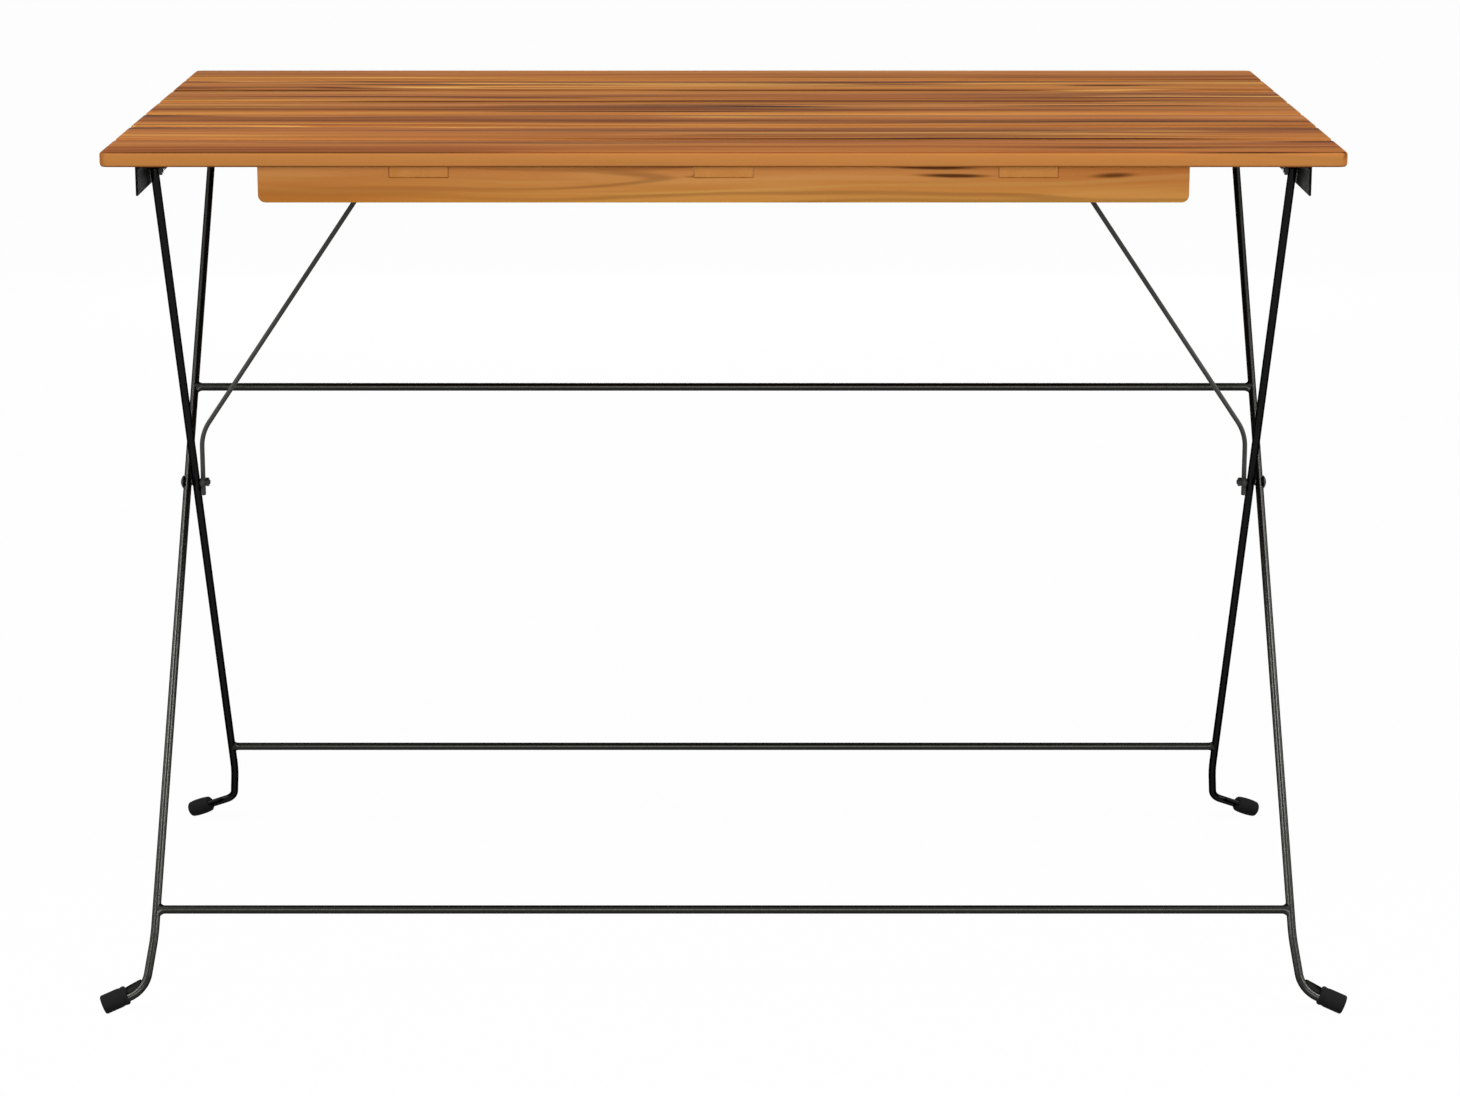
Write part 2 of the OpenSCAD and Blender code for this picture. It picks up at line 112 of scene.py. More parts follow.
@dataclass(frozen=True)
class Layout:
    """Planes, lines and pivots that the stand and the top share.

    Everything comes from the frame's joints and boxes and from the rod's own sizes.
    """

    rod: float = 7 * MM
    stay: float = 4.2 * MM
    gap: float = 0.5 * MM           # between one part on a bolt and the next
    leg_setback: float = 26 * MM    # from the slats' ends to the outer legs' centre lines
    sheet: float = 2 * MM           # thickness of the steel angles
    pivot: Array = field(default_factory=lambda: joint_place("scissor_pivot"))
    hinge: Array = field(default_factory=lambda: joint_place("top_tilt"))
    rest: Array = field(default_factory=lambda: node_middle("rest_bar")[1:])
    half_width: float = field(default_factory=lambda: float(node_box("slat_1")[1][0]))

    @property
    def outer_x(self) -> float:
        """X of the right outer leg's centre line."""
        return self.half_width - self.leg_setback

    @property
    def inner_x(self) -> float:
        """X of the right inner leg's centre line."""
        return self.outer_x - self.rod - self.gap

    @property
    def angle_x(self) -> float:
        """X of the inner face of the right steel angle's upright flange."""
        return self.inner_x + self.rod / 2 + self.gap

    @property
    def stay_x(self) -> float:
        """X of the right stay's upright part."""
        return self.inner_x - self.rod / 2 - self.gap - self.stay / 2

    def leg_x(self, foot: Foot) -> float:
        """Returns X of the right leg that ends in this foot."""
        return self.outer_x if foot is Foot.FRONT else self.inner_x

    def leg_top(self, foot: Foot) -> Array:
        """Returns Y and Z of the point that fixes the top of a leg's line."""
        return self.rest if foot is Foot.FRONT else self.hinge

    def leg_line(self, foot: Foot) -> Array:
        """Returns a leg's direction upwards, as a unit vector."""
        along = self.leg_top(foot) - self.pivot
        return np.array([0.0, *(along / np.linalg.norm(along))])


# ---- surfaces ----


@dataclass
class Shell:
    """One closed surface: its points, and faces as rows of point numbers."""

    points: Array
    faces: list[list[int]]

    def mirrored(self, side: Side) -> "Shell":
        """Returns the shell on its own side: X is kept on the right and negated on the left."""
        return Shell(self.points * [side.value, 1, 1], self.faces)

    def moved(self, offset: Sequence[float]) -> "Shell":
        """Returns the shell moved by an offset."""
        return Shell(self.points + np.asarray(offset), self.faces)

    def turned(self, matrix: Array) -> "Shell":
        """Returns the shell with each point multiplied by a 3 x 3 matrix."""
        return Shell(self.points @ matrix.T, self.faces)


def joined(shells: Iterable[Shell]) -> Shell:
    """Makes several shells into one, with their point numbers counted on.

    Args:
        shells: the shells in order.

    Returns:
        One shell that holds them all.
    """
    points, faces, start = [], [], 0
    for shell in shells:
        points.append(shell.points)
        faces += [[i + start for i in face] for face in shell.faces]
        start += len(shell.points)
    return Shell(np.concatenate(points), faces)


def loft(rings: Array) -> Shell:
    """Joins rings of points into a tube, with flat faces over its two ends.

    Point (i, j) is joined to (i, j + 1) round the ring and to (i + 1, j) along the path.

    Args:
        rings: an M x N x 3 array, one ring of N points for each of M stations.

    Returns:
        The closed shell.
    """
    stations, around, _ = rings.shape
    number = np.arange(stations * around).reshape(stations, around)
    after = np.roll(number, -1, axis=1)
    quads = np.stack([number[:-1], after[:-1], after[1:], number[1:]], axis=-1).reshape(-1, 4)
    faces = [*quads.tolist(), number[0][::-1].tolist(), number[-1].tolist()]
    return Shell(rings.reshape(-1, 3), faces)


def circle(radius: float, sides: int = 32) -> Array:
    """Returns points on a circle: radius times cosine and sine of equal steps."""
    turn = np.linspace(0, 2 * np.pi, sides, endpoint=False)
    return radius * np.stack([np.cos(turn), np.sin(turn)], axis=1)


def round_corners(corners: Sequence[Sequence[float]], radii: Sequence[float], steps: int = 6) -> Array:
    """Rounds a polygon's corners with arcs that meet both edges at a tangent.

    Each arc starts r * tan(half the turn) before its corner, and its points are the
    corner's arc centre plus the turned start spoke.

    Args:
        corners: the polygon's corners in order.
        radii: one radius for each corner, 0 for a sharp one.
        steps: spans in each arc.

    Returns:
        The outline's points.
    """
    corners = np.asarray(corners, float)
    outline = []
    for before, at, after, radius in zip(np.roll(corners, 1, 0), corners, np.roll(corners, -1, 0), radii):
        if radius == 0:
            outline.append(at[None])
            continue
        came = (at - before) / np.linalg.norm(at - before)
        goes = (after - at) / np.linalg.norm(after - at)
        turn = math.atan2(came[0] * goes[1] - came[1] * goes[0], came @ goes)
        start = at - came * radius * math.tan(abs(turn) / 2)
        left = np.array([-came[1], came[0]]) * math.copysign(1, turn)
        centre = start + left * radius
        angle = np.linspace(0, turn, steps + 1)
        spoke = start - centre
        outline.append(centre + np.stack([spoke[0] * np.cos(angle) - spoke[1] * np.sin(angle),
                                          spoke[0] * np.sin(angle) + spoke[1] * np.cos(angle)], axis=1))
    return np.concatenate(outline)


def bent_path(points: Sequence[Array], radii: Sequence[float], spacing: float = 4 * MM) -> Array:
    """Returns the centre line of a bent rod as closely spaced points.

    Each bend is an arc of its radius in the plane of its two straights. The arc's point at
    angle a is its centre, minus the radius times the inward unit vector turned by a.

    Args:
        points: the ends of the straights, first and last included.
        radii: one radius for each bend.
        spacing: the largest step along an arc.

    Returns:
        An N x 3 array.
    """
    points = [np.asarray(p, float) for p in points]
    line = [points[0][None]]
    for before, at, after, radius in zip(points, points[1:], points[2:], radii):
        along = (at - before) / np.linalg.norm(at - before)
        leaves = (after - at) / np.linalg.norm(after - at)
        turn = math.acos(float(np.clip(along @ leaves, -1, 1)))
        inward = leaves - along * (along @ leaves)
        inward /= np.linalg.norm(inward)
        centre = at - along * radius * math.tan(turn / 2) + inward * radius
        steps = max(8, int(radius * turn / spacing) + 1)
        angle = np.linspace(0, turn, steps + 1)[:, None]
        line.append(centre + radius * (along * np.sin(angle) - inward * np.cos(angle)))
    line.append(points[-1][None])
    return np.concatenate(line)


def end_rounding(path: Array, ease: float, both: bool = True) -> tuple[Array, Array]:
    """Adds stations near a path's ends and says how far the section shrinks at each.

    Within the easing length the scale is the height of a quarter circle, so an end is
    rounded over like a rod's deburred edge.

    Args:
        path: the centre line.
        ease: length of the rounding.
        both: whether the last end is rounded too, or the first alone.

    Returns:
        The path with its new stations, and what to take off the radius at each.
    """
    angle = np.linspace(0, np.pi / 2, 5)[:-1]
    reach, drop = ease * (1 - np.cos(angle)), ease * (1 - np.sin(angle))
    first = (path[1] - path[0]) / np.linalg.norm(path[1] - path[0])
    last = (path[-1] - path[-2]) / np.linalg.norm(path[-1] - path[-2])
    parts = [path[0] + first * reach[:, None], path[:1] + first * ease, path[1:-1]]
    shrink = [drop, np.zeros(len(path))]
    if both:
        parts += [path[-1:] - last * ease, path[-1] - last * reach[::-1, None]]
        shrink.append(drop[::-1])
    else:
        parts.append(path[-1:])
    return np.concatenate(parts), np.concatenate(shrink)


def sweep(path: Array, upright: Array, section: Array, shrink: Array | None = None) -> Shell:
    """Carries a section along a path.

    A ring's point is the path's point, plus the section's first number times `across`,
    plus the second times `up`. At each station `up` is the one before with its part along
    the path taken off, so the section doesn't twist.

    Args:
        path: an N x 3 centre line.
        upright: roughly the way that the section's second axis starts.
        section: an M x 2 outline.
        shrink: what to take off the section's radius at each station.

    Returns:
        The closed shell.
    """
    forward = np.gradient(path, axis=0)
    forward /= np.linalg.norm(forward, axis=1, keepdims=True)
    up, ups = upright, []
    for way in forward:
        up = up - way * (up @ way)
        up = up / np.linalg.norm(up)
        ups.append(up)
    ups = np.array(ups)
    across = np.cross(ups, forward)
    radius = np.linalg.norm(section, axis=1).max()
    scale = (1 - (np.zeros(len(path)) if shrink is None else shrink) / radius)[:, None, None]
    rings = (path[:, None] + across[:, None] * (section[None, :, :1] * scale)
             + ups[:, None] * (section[None, :, 1:] * scale))
    return loft(rings)


def lathe(profile: Array, centre: Array, axis: Array, sides: int = 48) -> Shell:
    """Turns a profile about an axis.

    Ring i has the profile's first number as its radius and lies the second number along
    the axis from the centre.

    Args:
        profile: an N x 2 array of radius and height.
        centre: where height is 0.
        axis: the unit vector of the axis.
        sides: points in a ring.

    Returns:
        The closed shell.
    """
    first = np.cross(axis, UPWARDS if abs(axis[2]) < 0.9 else RIGHTWARDS)
    first /= np.linalg.norm(first)
    second = np.cross(axis, first)
    spokes = circle(1, sides)
    rim = spokes[:, :1] * first + spokes[:, 1:] * second
    rings = centre + profile[:, 1, None, None] * axis + profile[:, 0, None, None] * rim[None]
    return loft(rings)


def slab(outline: Array, low: float, high: float, axes: tuple[int, int, int]) -> Shell:
    """Gives an outline a thickness.

    Args:
        outline: an N x 2 polygon.
        low: where the slab starts on its third axis.
        high: where it ends.
        axes: the numbers of the outline's two axes, then the third.

    Returns:
        The closed shell.
    """
    rings = np.empty((2, len(outline), 3))
    rings[..., axes[0]], rings[..., axes[1]] = outline[:, 0], outline[:, 1]
    rings[0, :, axes[2]], rings[1, :, axes[2]] = low, high
    return loft(rings)


# ---- handing a surface over as a piece ----


def make_piece(name: str, shell: Shell, body: str, material: bpy.types.Material,
               replaces: Sequence[str] = (), ease: float = 0.0, crease_deg: float = 32.0,
               grain: Sequence[float] | None = None) -> bpy.types.Object:
    """Makes a named piece from a shell and fixes it to its body.

    Args:
        name: the piece's name.
        shell: its surface, in place.
        body: the frame body that it rides on.
        material: its finish.
        replaces: the CAD nodes it stands for.
        ease: width of a live bevel on its sharp edges, 0 for none.
        crease_deg: edges that turn by more than this stay crisp.
        grain: the board's own shift along X, Y and Z into the timber's figure, then its
            tone from 0 to 1, or None for a piece that isn't wood.

    Returns:
        The new object.
    """
    mesh = bpy.data.meshes.new(name)
    mesh.from_pydata(shell.points.tolist(), [], shell.faces)
    work = bmesh.new()
    work.from_mesh(mesh)
    bmesh.ops.remove_doubles(work, verts=work.verts, dist=WELD_DISTANCE)
    bmesh.ops.dissolve_degenerate(work, edges=work.edges, dist=WELD_DISTANCE / 10)
    bmesh.ops.recalc_face_normals(work, faces=work.faces)
    for edge in work.edges:
        edge.smooth = edge.calc_face_angle(0.0) < math.radians(crease_deg)
    for face in work.faces:
        face.smooth = True
    work.to_mesh(mesh)
    work.free()
    if grain is not None:
        count = len(mesh.vertices)
        shift = mesh.attributes.new("grain_shift", "FLOAT_VECTOR", "POINT")
        shift.data.foreach_set("vector", np.tile(np.array(grain[:3], np.float32), count))
        tone = mesh.attributes.new("grain_tone", "FLOAT", "POINT")
        tone.data.foreach_set("value", np.full(count, grain[3], np.float32))
    mesh.materials.append(material)
    piece = bpy.data.objects.new(name, mesh)
    bpy.context.scene.collection.objects.link(piece)
    if ease:
        bevel = piece.modifiers.new("eased_edges", "BEVEL")
        bevel.width, bevel.segments, bevel.limit_method = ease, 3, "ANGLE"
        bevel.angle_limit = math.radians(crease_deg)
    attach(piece, body)
    if replaces:
        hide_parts(*replaces)
    log.info("%s on %s: %d points", name, body, len(mesh.vertices))
    return piece


# ---- finishes ----


def linear(code: str) -> tuple[float, float, float, float]:
    """Turns an sRGB hex colour into the linear colour that the shaders work in.

    A channel up to 0.04045 is divided by 12.92, and a higher one becomes
    ((channel + 0.055) / 1.055) to the power 2.4.

    Args:
        code: six hex digits.

    Returns:
        Red, green, blue and an alpha of 1.
    """
    parts = np.array([int(code[i:i + 2], 16) for i in (0, 2, 4)]) / 255
    lin = np.where(parts <= 0.04045, parts / 12.92, ((parts + 0.055) / 1.055) ** 2.4)
    return (*map(float, lin), 1.0)


def add(tree: bpy.types.NodeTree, kind: str, links: dict[Any, Any] | None = None,
        stops: Sequence[tuple[float, str]] = (), **settings: Any) -> bpy.types.Node:
    """Adds one shader node with its settings and links.

    Args:
        tree: the node tree.
        kind: the node's type without its ShaderNode prefix.
        links: input name or number to the socket that feeds it, or to its value.
        stops: positions and hex colours of a colour ramp.
        settings: the node's own properties.

    Returns:
        The new node.
    """
    made = tree.nodes.new("ShaderNode" + kind)
    for name, value in settings.items():
        setattr(made, name, value)
    for key, value in (links or {}).items():
        if isinstance(value, bpy.types.NodeSocket):
            tree.links.new(value, made.inputs[key])
        else:
            made.inputs[key].default_value = value
    if stops:
        ramp = made.color_ramp
        while len(ramp.elements) < len(stops):
            ramp.elements.new(1.0)
        for element, (place, code) in zip(ramp.elements, stops):
            element.position, element.color = place, linear(code)
    return made


def blank_material(name: str) -> tuple[bpy.types.Material, bpy.types.NodeTree]:
    """Makes a material that is ready to be filled with nodes.

    Args:
        name: the material's name.

    Returns:
        The new material and its emptied node tree.
    """
    material = bpy.data.materials.new(name)
    material.use_nodes = True
    material.node_tree.nodes.clear()
    return material, material.node_tree


MIX_A, MIX_B, MIX_OUT = 6, 7, 2     # the colour sockets of a Mix node


class Grain(Enum):
    """Which way a board's fibres run, as the turn about Z that brings them to X."""

    ALONG_X = 0.0
    ALONG_Y = -math.pi / 2


@dataclass(frozen=True)
class Mark:
    """A dark heart streak or knot at a known place on a board, an ellipse in X and Z."""

    place: tuple[float, float]
    half: tuple[float, float]
    depth: float


@dataclass(frozen=True)
class Vein:
    """Thin lines along the grain, measured against the colour bands."""

    width: float
    stretch: float
    half: float     # how far from the noise's middle value a line still shows
    apart: float    # how far its noise is moved, so that no two sets of lines coincide


@dataclass(frozen=True)
class Timber:
    """Oiled acacia: planed boards with wandering dark heart streaks and golden sapwood.

    Acacia has an interlocked grain, so the eye sees long uneven bands rather than tidy
    rings. The oil deepens the dark bands and dries to a low sheen.
    """

    name: str
    heart: str                  # the figure's colours, from its darkest bands
    body: str
    warm: str
    sap: str                    # to its lightest
    line: str                   # dark veins and knots
    glint: str                  # golden veins
    edge: str                   # the upright long faces
    grain: Grain = Grain.ALONG_X
    band_mm: float = 30.0       # width of a colour band across the board
    streak_mm: float = 9.0      # width of a streak inside it
    fibre_mm: float = 1.4       # drawn about three times as coarse as real pores, so they show
    length_mm: float = 1050.0   # length over which a band holds its place
    through: float = 0.55       # bands in a given thickness, for each one in that much width
    sway_scale: tuple[float, float, float] = (2.2, 6.0, 6.0)    # sways in a metre
    wander_mm: float = 12.0     # how far the bands drift sideways
    band_weight: float = 0.56   # what each noise adds to the figure
    streak_weight: float = 0.36
    fibre_weight: float = 0.08
    contrast: float = 1.0       # how far apart the dark and the light bands stand
    figure_stops: tuple[float, ...] = (-0.24, -0.09, 0.07, 0.24)     # heart, body, warm and sap
    lines: Vein = Vein(0.8, 1.6, 0.030, 0.0)
    glints: Vein = Vein(1.1, 1.7, 0.022, 3.7)
    line_share: float = 1.0     # how strongly they cover the figure
    glint_share: float = 0.75
    patch_range: tuple[float, float] = (0.42, 0.56)     # veins are kept to patches above this
    edge_share: float = 0.0     # how far the upright long faces are mixed to that plain tone
    end: str = "c98048"         # the sawn ends, and how far they go to that tone
    end_share: float = 0.3
    fade: tuple[float, float] | None = None     # heights over which the tone turns darker and redder upwards, with a painted highlight along the lowest edge
    marks: tuple[Mark, ...] = ()
    roughness: float = 0.62
    specular: float = 0.02
    pore_mm: float = 0.3        # depth of the planed surface's relief

    def build(self) -> bpy.types.Material:
        """Builds the material, a stack of stretched noises on Object coordinates.

        Bands, streaks and fibres are added up by their weights into one figure, which a ramp
        turns into colour. Every other layer is then mixed over it in turn.

        Returns:
            The new material.
        """
        material, tree = blank_material(self.name)
        place = add(tree, "TexCoord")
        shift = add(tree, "Attribute", attribute_name="grain_shift", attribute_type="GEOMETRY")
        moved = add(tree, "VectorMath", {0: place.outputs["Object"], 1: shift.outputs["Vector"]},
                    operation="ADD")
        laid = add(tree, "Mapping", {"Vector": moved.outputs[0], "Rotation": (0, 0, self.grain.value)})
        drift = add(tree, "Mapping", {"Vector": laid.outputs[0], "Scale": self.sway_scale})
        sway = add(tree, "TexNoise", {"Vector": drift.outputs[0], "Scale": 1.0, "Detail": 2.0})
        centred = add(tree, "VectorMath", {0: sway.outputs["Color"], 1: (0.5, 0.5, 0.5)},
                      operation="SUBTRACT")
        wander = self.wander_mm * MM * 2
        swayed = add(tree, "VectorMath", {0: centred.outputs[0], 1: (0.0, wander, wander)},
                     operation="MULTIPLY")
        fibre_way = add(tree, "VectorMath", {0: laid.outputs[0], 1: swayed.outputs[0]}, operation="ADD")

        def noise(width_mm: float, stretch: float, detail: float,
                  apart: float = 0.0) -> bpy.types.NodeSocket:
            """Adds a noise that is stretched along the grain.

            Args:
                width_mm: its width across the grain.
                stretch: its length, as a share of the bands' own.
                detail: how many finer noises are added to it.
                apart: how far it is moved, so that it differs from others of its width.

            Returns:
                The noise's value.
            """
            across = 1 / (width_mm * MM)
            long = 1 / (self.length_mm * MM * stretch)
            sized = add(tree, "Mapping", {"Vector": fibre_way.outputs[0], "Location": (apart,) * 3,
                                          "Scale": (long, across, across * self.through)})
            return add(tree, "TexNoise", {"Vector": sized.outputs[0], "Scale": 1.0, "Detail": detail,
                                          "Roughness": 0.55}).outputs["Fac"]

        bands = noise(self.band_mm, 1.0, 3.0)
        streaks = noise(self.streak_mm, 0.8, 3.0)
        fibres = noise(self.fibre_mm, 0.2, 2.0)
        patches = noise(self.band_mm * 2.5, 0.8, 1.0)

        def veins(kind: Vein, share: float) -> bpy.types.NodeSocket:
            """Adds thin lines where a broad noise passes its middle value, kept to some patches.

            Args:
                kind: the lines' sizes.
                share: how strongly they cover what is under them.

            Returns:
                How strongly a line covers each place.
            """
            level = add(tree, "Math", {0: noise(self.band_mm * kind.width, kind.stretch, 1.5, kind.apart),
                                       1: 0.5}, operation="SUBTRACT")
            near = add(tree, "Math", {0: level.outputs[0]}, operation="ABSOLUTE")
            thin = add(tree, "MapRange", {"Value": near.outputs[0], "From Min": kind.half * 0.2,
                                          "From Max": kind.half, "To Min": 1.0, "To Max": 0.0},
                       interpolation_type="SMOOTHSTEP")
            kept = add(tree, "MapRange", {"Value": patches, "From Min": self.patch_range[0],
                                          "From Max": self.patch_range[1], "To Min": 0.0, "To Max": share})
            return add(tree, "Math", {0: thin.outputs[0], 1: kept.outputs[0]},
                       operation="MULTIPLY").outputs[0]

        figure: Any = 0.0
        for part, weight in ((bands, self.band_weight), (streaks, self.streak_weight),
                             (fibres, self.fibre_weight)):
            figure = add(tree, "Math", {0: part, 1: weight, 2: figure}, operation="MULTIPLY_ADD").outputs[0]
        spread = 0.5 / self.contrast
        shades = (self.heart, self.body, self.warm, self.sap)
        colour = add(tree, "ValToRGB", {"Fac": figure}, stops=[
            (0.5 + stop * spread, shade) for stop, shade in zip(self.figure_stops, shades)]).outputs[0]
        # each board has its own tone, from redder and darker to lighter and more golden
        tone = add(tree, "Attribute", attribute_name="grain_tone", attribute_type="GEOMETRY")
        tint = add(tree, "ValToRGB", {"Fac": tone.outputs["Fac"]},
                   stops=[(0.0, "dccdc6"), (0.5, "f2efea"), (1.0, "fffdf0")])
        # every layer laid over the figure: its share, its colour and how the two mix
        layers: list[tuple[Any, Any, str]] = [
            (veins(self.glints, self.glint_share), linear(self.glint), "MIX"),
            (veins(self.lines, self.line_share), linear(self.line), "MIX"),
            (1.0, tint.outputs[0], "MULTIPLY")]
        facing = add(tree, "SeparateXYZ", {0: place.outputs["Normal"]})
        ends, sides = ("X", "Y") if self.grain is Grain.ALONG_X else ("Y", "X")
        for axis, share, code in ((sides, self.edge_share, self.edge), (ends, self.end_share, self.end)):
            turned = add(tree, "Math", {0: facing.outputs[axis]}, operation="ABSOLUTE")
            square = add(tree, "MapRange", {"Value": turned.outputs[0], "From Min": 0.6, "From Max": 0.95,
                                            "To Min": 0.0, "To Max": share})
            layers.append((square.outputs[0], linear(code), "MIX"))
        if self.fade:
            # painted highlight: a pale yellow band along the board's lowest, eased edge; above it the tone
            # turns darker and redder towards the top
            height = add(tree, "SeparateXYZ", {0: place.outputs["Object"]})
            depth = add(tree, "MapRange", {"Value": height.outputs["Z"], "From Min": self.fade[0],
                                           "From Max": self.fade[1], "To Min": 0.0, "To Max": 1.0})
            across = add(tree, "ValToRGB", {"Fac": depth.outputs[0]}, stops=[
                (0.0, "ffffc8"), (0.03, "ffffc8"), (0.06, "fff8d8"), (0.35, "faf4e0"), (1.0, "f0e0e0")])
            layers.append((1.0, across.outputs[0], "MULTIPLY"))
        for mark in self.marks:
            near = add(tree, "VectorMath", {0: place.outputs["Object"], 1: swayed.outputs[0]},
                       operation="ADD")
            away = add(tree, "VectorMath", {0: near.outputs[0], 1: (mark.place[0], 0.0, mark.place[1])},
                       operation="SUBTRACT")
            sized = add(tree, "VectorMath", {0: away.outputs[0],
                                             1: (1 / mark.half[0], 0.0, 1 / mark.half[1])},
                        operation="MULTIPLY")
            reach = add(tree, "VectorMath", {0: sized.outputs[0]}, operation="LENGTH")
            frayed = add(tree, "Math", {0: streaks, 1: -1.6, 2: reach.outputs["Value"]},
                         operation="MULTIPLY_ADD")
            share = add(tree, "MapRange", {"Value": frayed.outputs[0], "From Min": -0.35,
                                           "From Max": 0.25, "To Min": mark.depth, "To Max": 0.0},
                        interpolation_type="SMOOTHSTEP")
            layers.append((share.outputs[0], linear(self.line), "MIX"))
        for share, over, blend in layers:
            colour = add(tree, "Mix", {0: share, MIX_A: colour, MIX_B: over}, data_type="RGBA",
                         blend_type=blend).outputs[MIX_OUT]
        dull = add(tree, "MapRange", {"Value": streaks, "From Min": 0.3, "From Max": 0.7,
                                      "To Min": self.roughness - 0.06, "To Max": self.roughness + 0.07})
        relief = add(tree, "Math", {0: fibres, 1: 0.5, 2: streaks}, operation="MULTIPLY_ADD")
        bump = add(tree, "Bump", {"Height": relief.outputs[0], "Strength": 0.2,
                                  "Distance": self.pore_mm * MM})
        shader = add(tree, "BsdfPrincipled", {
            "Base Color": colour, "Roughness": dull.outputs[0],
            "Specular IOR Level": self.specular, "Normal": bump.outputs[0]})
        add(tree, "OutputMaterial", {"Surface": shader.outputs[0]})
        return material


@dataclass(frozen=True)
class Coating:
    """A dark finish on steel or a moulded rubber: a base colour, a texture and a scuffed tone.

    Powder coat sets with a fine orange-peel skin that breaks up its highlights. Rubber is
    duller, with a fine spark-eroded mould texture and paler dust where it is handled.
    """

    name: str
    colour: str
    pale: str
    peel_mm: float
    peel_depth_mm: float
    roughness: float
    specular: float
    metallic: float = 0.0
    rim: str = "ffffff"         # what a metallic coat's gloss keeps at a grazing angle
    scuff: float = 0.05         # how far its patches shine more or less than the rest
    pale_share: float = 0.35
    patch_mm: float = 30.0

    def build(self) -> bpy.types.Material:
        """Builds the material, with patches for its tone and a fine noise for its skin.

        Returns:
            The new material.
        """
        material, tree = blank_material(self.name)
        place = add(tree, "TexCoord")
        patch = add(tree, "TexNoise", {"Vector": place.outputs["Object"],
                                       "Scale": 1 / (self.patch_mm * MM), "Detail": 4.0, "Roughness": 0.6})
        share = add(tree, "MapRange", {"Value": patch.outputs["Fac"], "From Min": 0.42, "From Max": 0.72,
                                       "To Min": 0.0, "To Max": self.pale_share})
        colour = add(tree, "Mix", {0: share.outputs[0], MIX_A: linear(self.colour), MIX_B: linear(self.pale)},
                     data_type="RGBA")
        peel = add(tree, "TexNoise", {"Vector": place.outputs["Object"],
                                      "Scale": 1 / (self.peel_mm * MM), "Detail": 3.0})
        bump = add(tree, "Bump", {"Height": peel.outputs["Fac"], "Strength": 0.35,
                                  "Distance": self.peel_depth_mm * MM})
        dull = add(tree, "MapRange", {"Value": patch.outputs["Fac"], "From Min": 0.3, "From Max": 0.7,
                                      "To Min": self.roughness - self.scuff,
                                      "To Max": self.roughness + 1.6 * self.scuff})
        shader = add(tree, "BsdfPrincipled", {
            "Base Color": colour.outputs[MIX_OUT], "Metallic": self.metallic,
            "Roughness": dull.outputs[0], "Specular IOR Level": self.specular,
            "Specular Tint": linear(self.rim), "Normal": bump.outputs[0]})
        add(tree, "OutputMaterial", {"Surface": shader.outputs[0]})
        return material


class Finishes:
    """Every finish on the table, built once and shared by the pieces."""

    def __init__(self) -> None:
        """Builds the materials."""
        self.slat = Timber(
            "oiled_acacia_top", heart="6c3c1c", body="945a2c", warm="a76834", sap="bd8444",
            line="3f1c08", glint="e0ac5e", edge="b6793e", edge_share=0.85, contrast=1.15).build()
        paler = dict(
            heart="c0793c", body="d88f4e", warm="e29f5c", sap="f0b472", line="4a240a", glint="ecc078",
            edge="d79654", end="d8934c", band_mm=22.0, contrast=0.8, line_share=0.3, glint_share=0.3)
        under, over = (float(corner[2]) for corner in node_box("front_apron"))
        self.apron = Timber("oiled_acacia_apron", fade=(under, over), length_mm=800.0,
                            marks=self.knots(), **paler).build()
        self.batten = Timber("oiled_acacia_batten", grain=Grain.ALONG_Y, end_share=0.8, **paler).build()
        # the rods' coats are lustrous, so that they show a light core between dark edges; the inner legs'
        # copy of the same coat is painted darker, as painted shade on legs that face down and away from the
        # lamps
        lustre = dict(peel_mm=2.4, peel_depth_mm=0.0008, roughness=0.27, metallic=1.0, rim="202020",
                      scuff=0.006)
        self.rod = Coating("powder_coated_steel", "2a2a28", "2d2d2b", specular=0.03, **lustre).build()
        self.inner_rod_painted_shade = Coating("powder_coated_inner_steel", "1c1c1c", "20201f", specular=0.02,
                                 **lustre).build()
        self.angle = Coating("powder_coated_angle", "121211", "181817", peel_mm=2.4,
                             peel_depth_mm=0.004, roughness=0.6, specular=0.01).build()
        self.stay = Coating("grey_coated_wire", "434341", "4c4b48", peel_mm=2.0,
                            peel_depth_mm=0.003, roughness=0.42, specular=0.04).build()
        self.rubber = Coating("moulded_rubber", "1b1b1b", "222221", peel_mm=1.0,
                              peel_depth_mm=0.01, roughness=0.7, specular=0.02, patch_mm=12.0).build()
        self.fastener = Coating("blackened_steel", "2a2a29", "363532", peel_mm=0.5,
                                peel_depth_mm=0.006, roughness=0.36, specular=0.15, metallic=0.1,
                                patch_mm=6.0).build()

    @staticmethod
    def knots() -> tuple[Mark, ...]:
        """Places the apron's own dark streaks from its top edge and its notches.

        Returns:
            The streaks.
        """
        top = float(node_box("front_apron")[1][2])
        centre = float(node_middle("batten_centre")[0])
        right_low, right_high = (float(corner[0]) for corner in node_box("batten_right"))
        # where each is measured from, its step along and down from there, its half sizes, its depth
        rows = ((centre, (-4, 9), (34, 2.2), 0.7), (right_low, (-55, 3), (50, 3.0), 0.9),
                (right_low, (-35, 10), (45, 2.6), 0.9), (right_high, (45, 12), (35, 4.0), 0.8))
        return tuple(Mark((start + along * MM, top - down * MM), (long * MM, tall * MM), depth)
                     for start, (along, down), (long, tall), depth in rows)


# ---- the slatted top ----


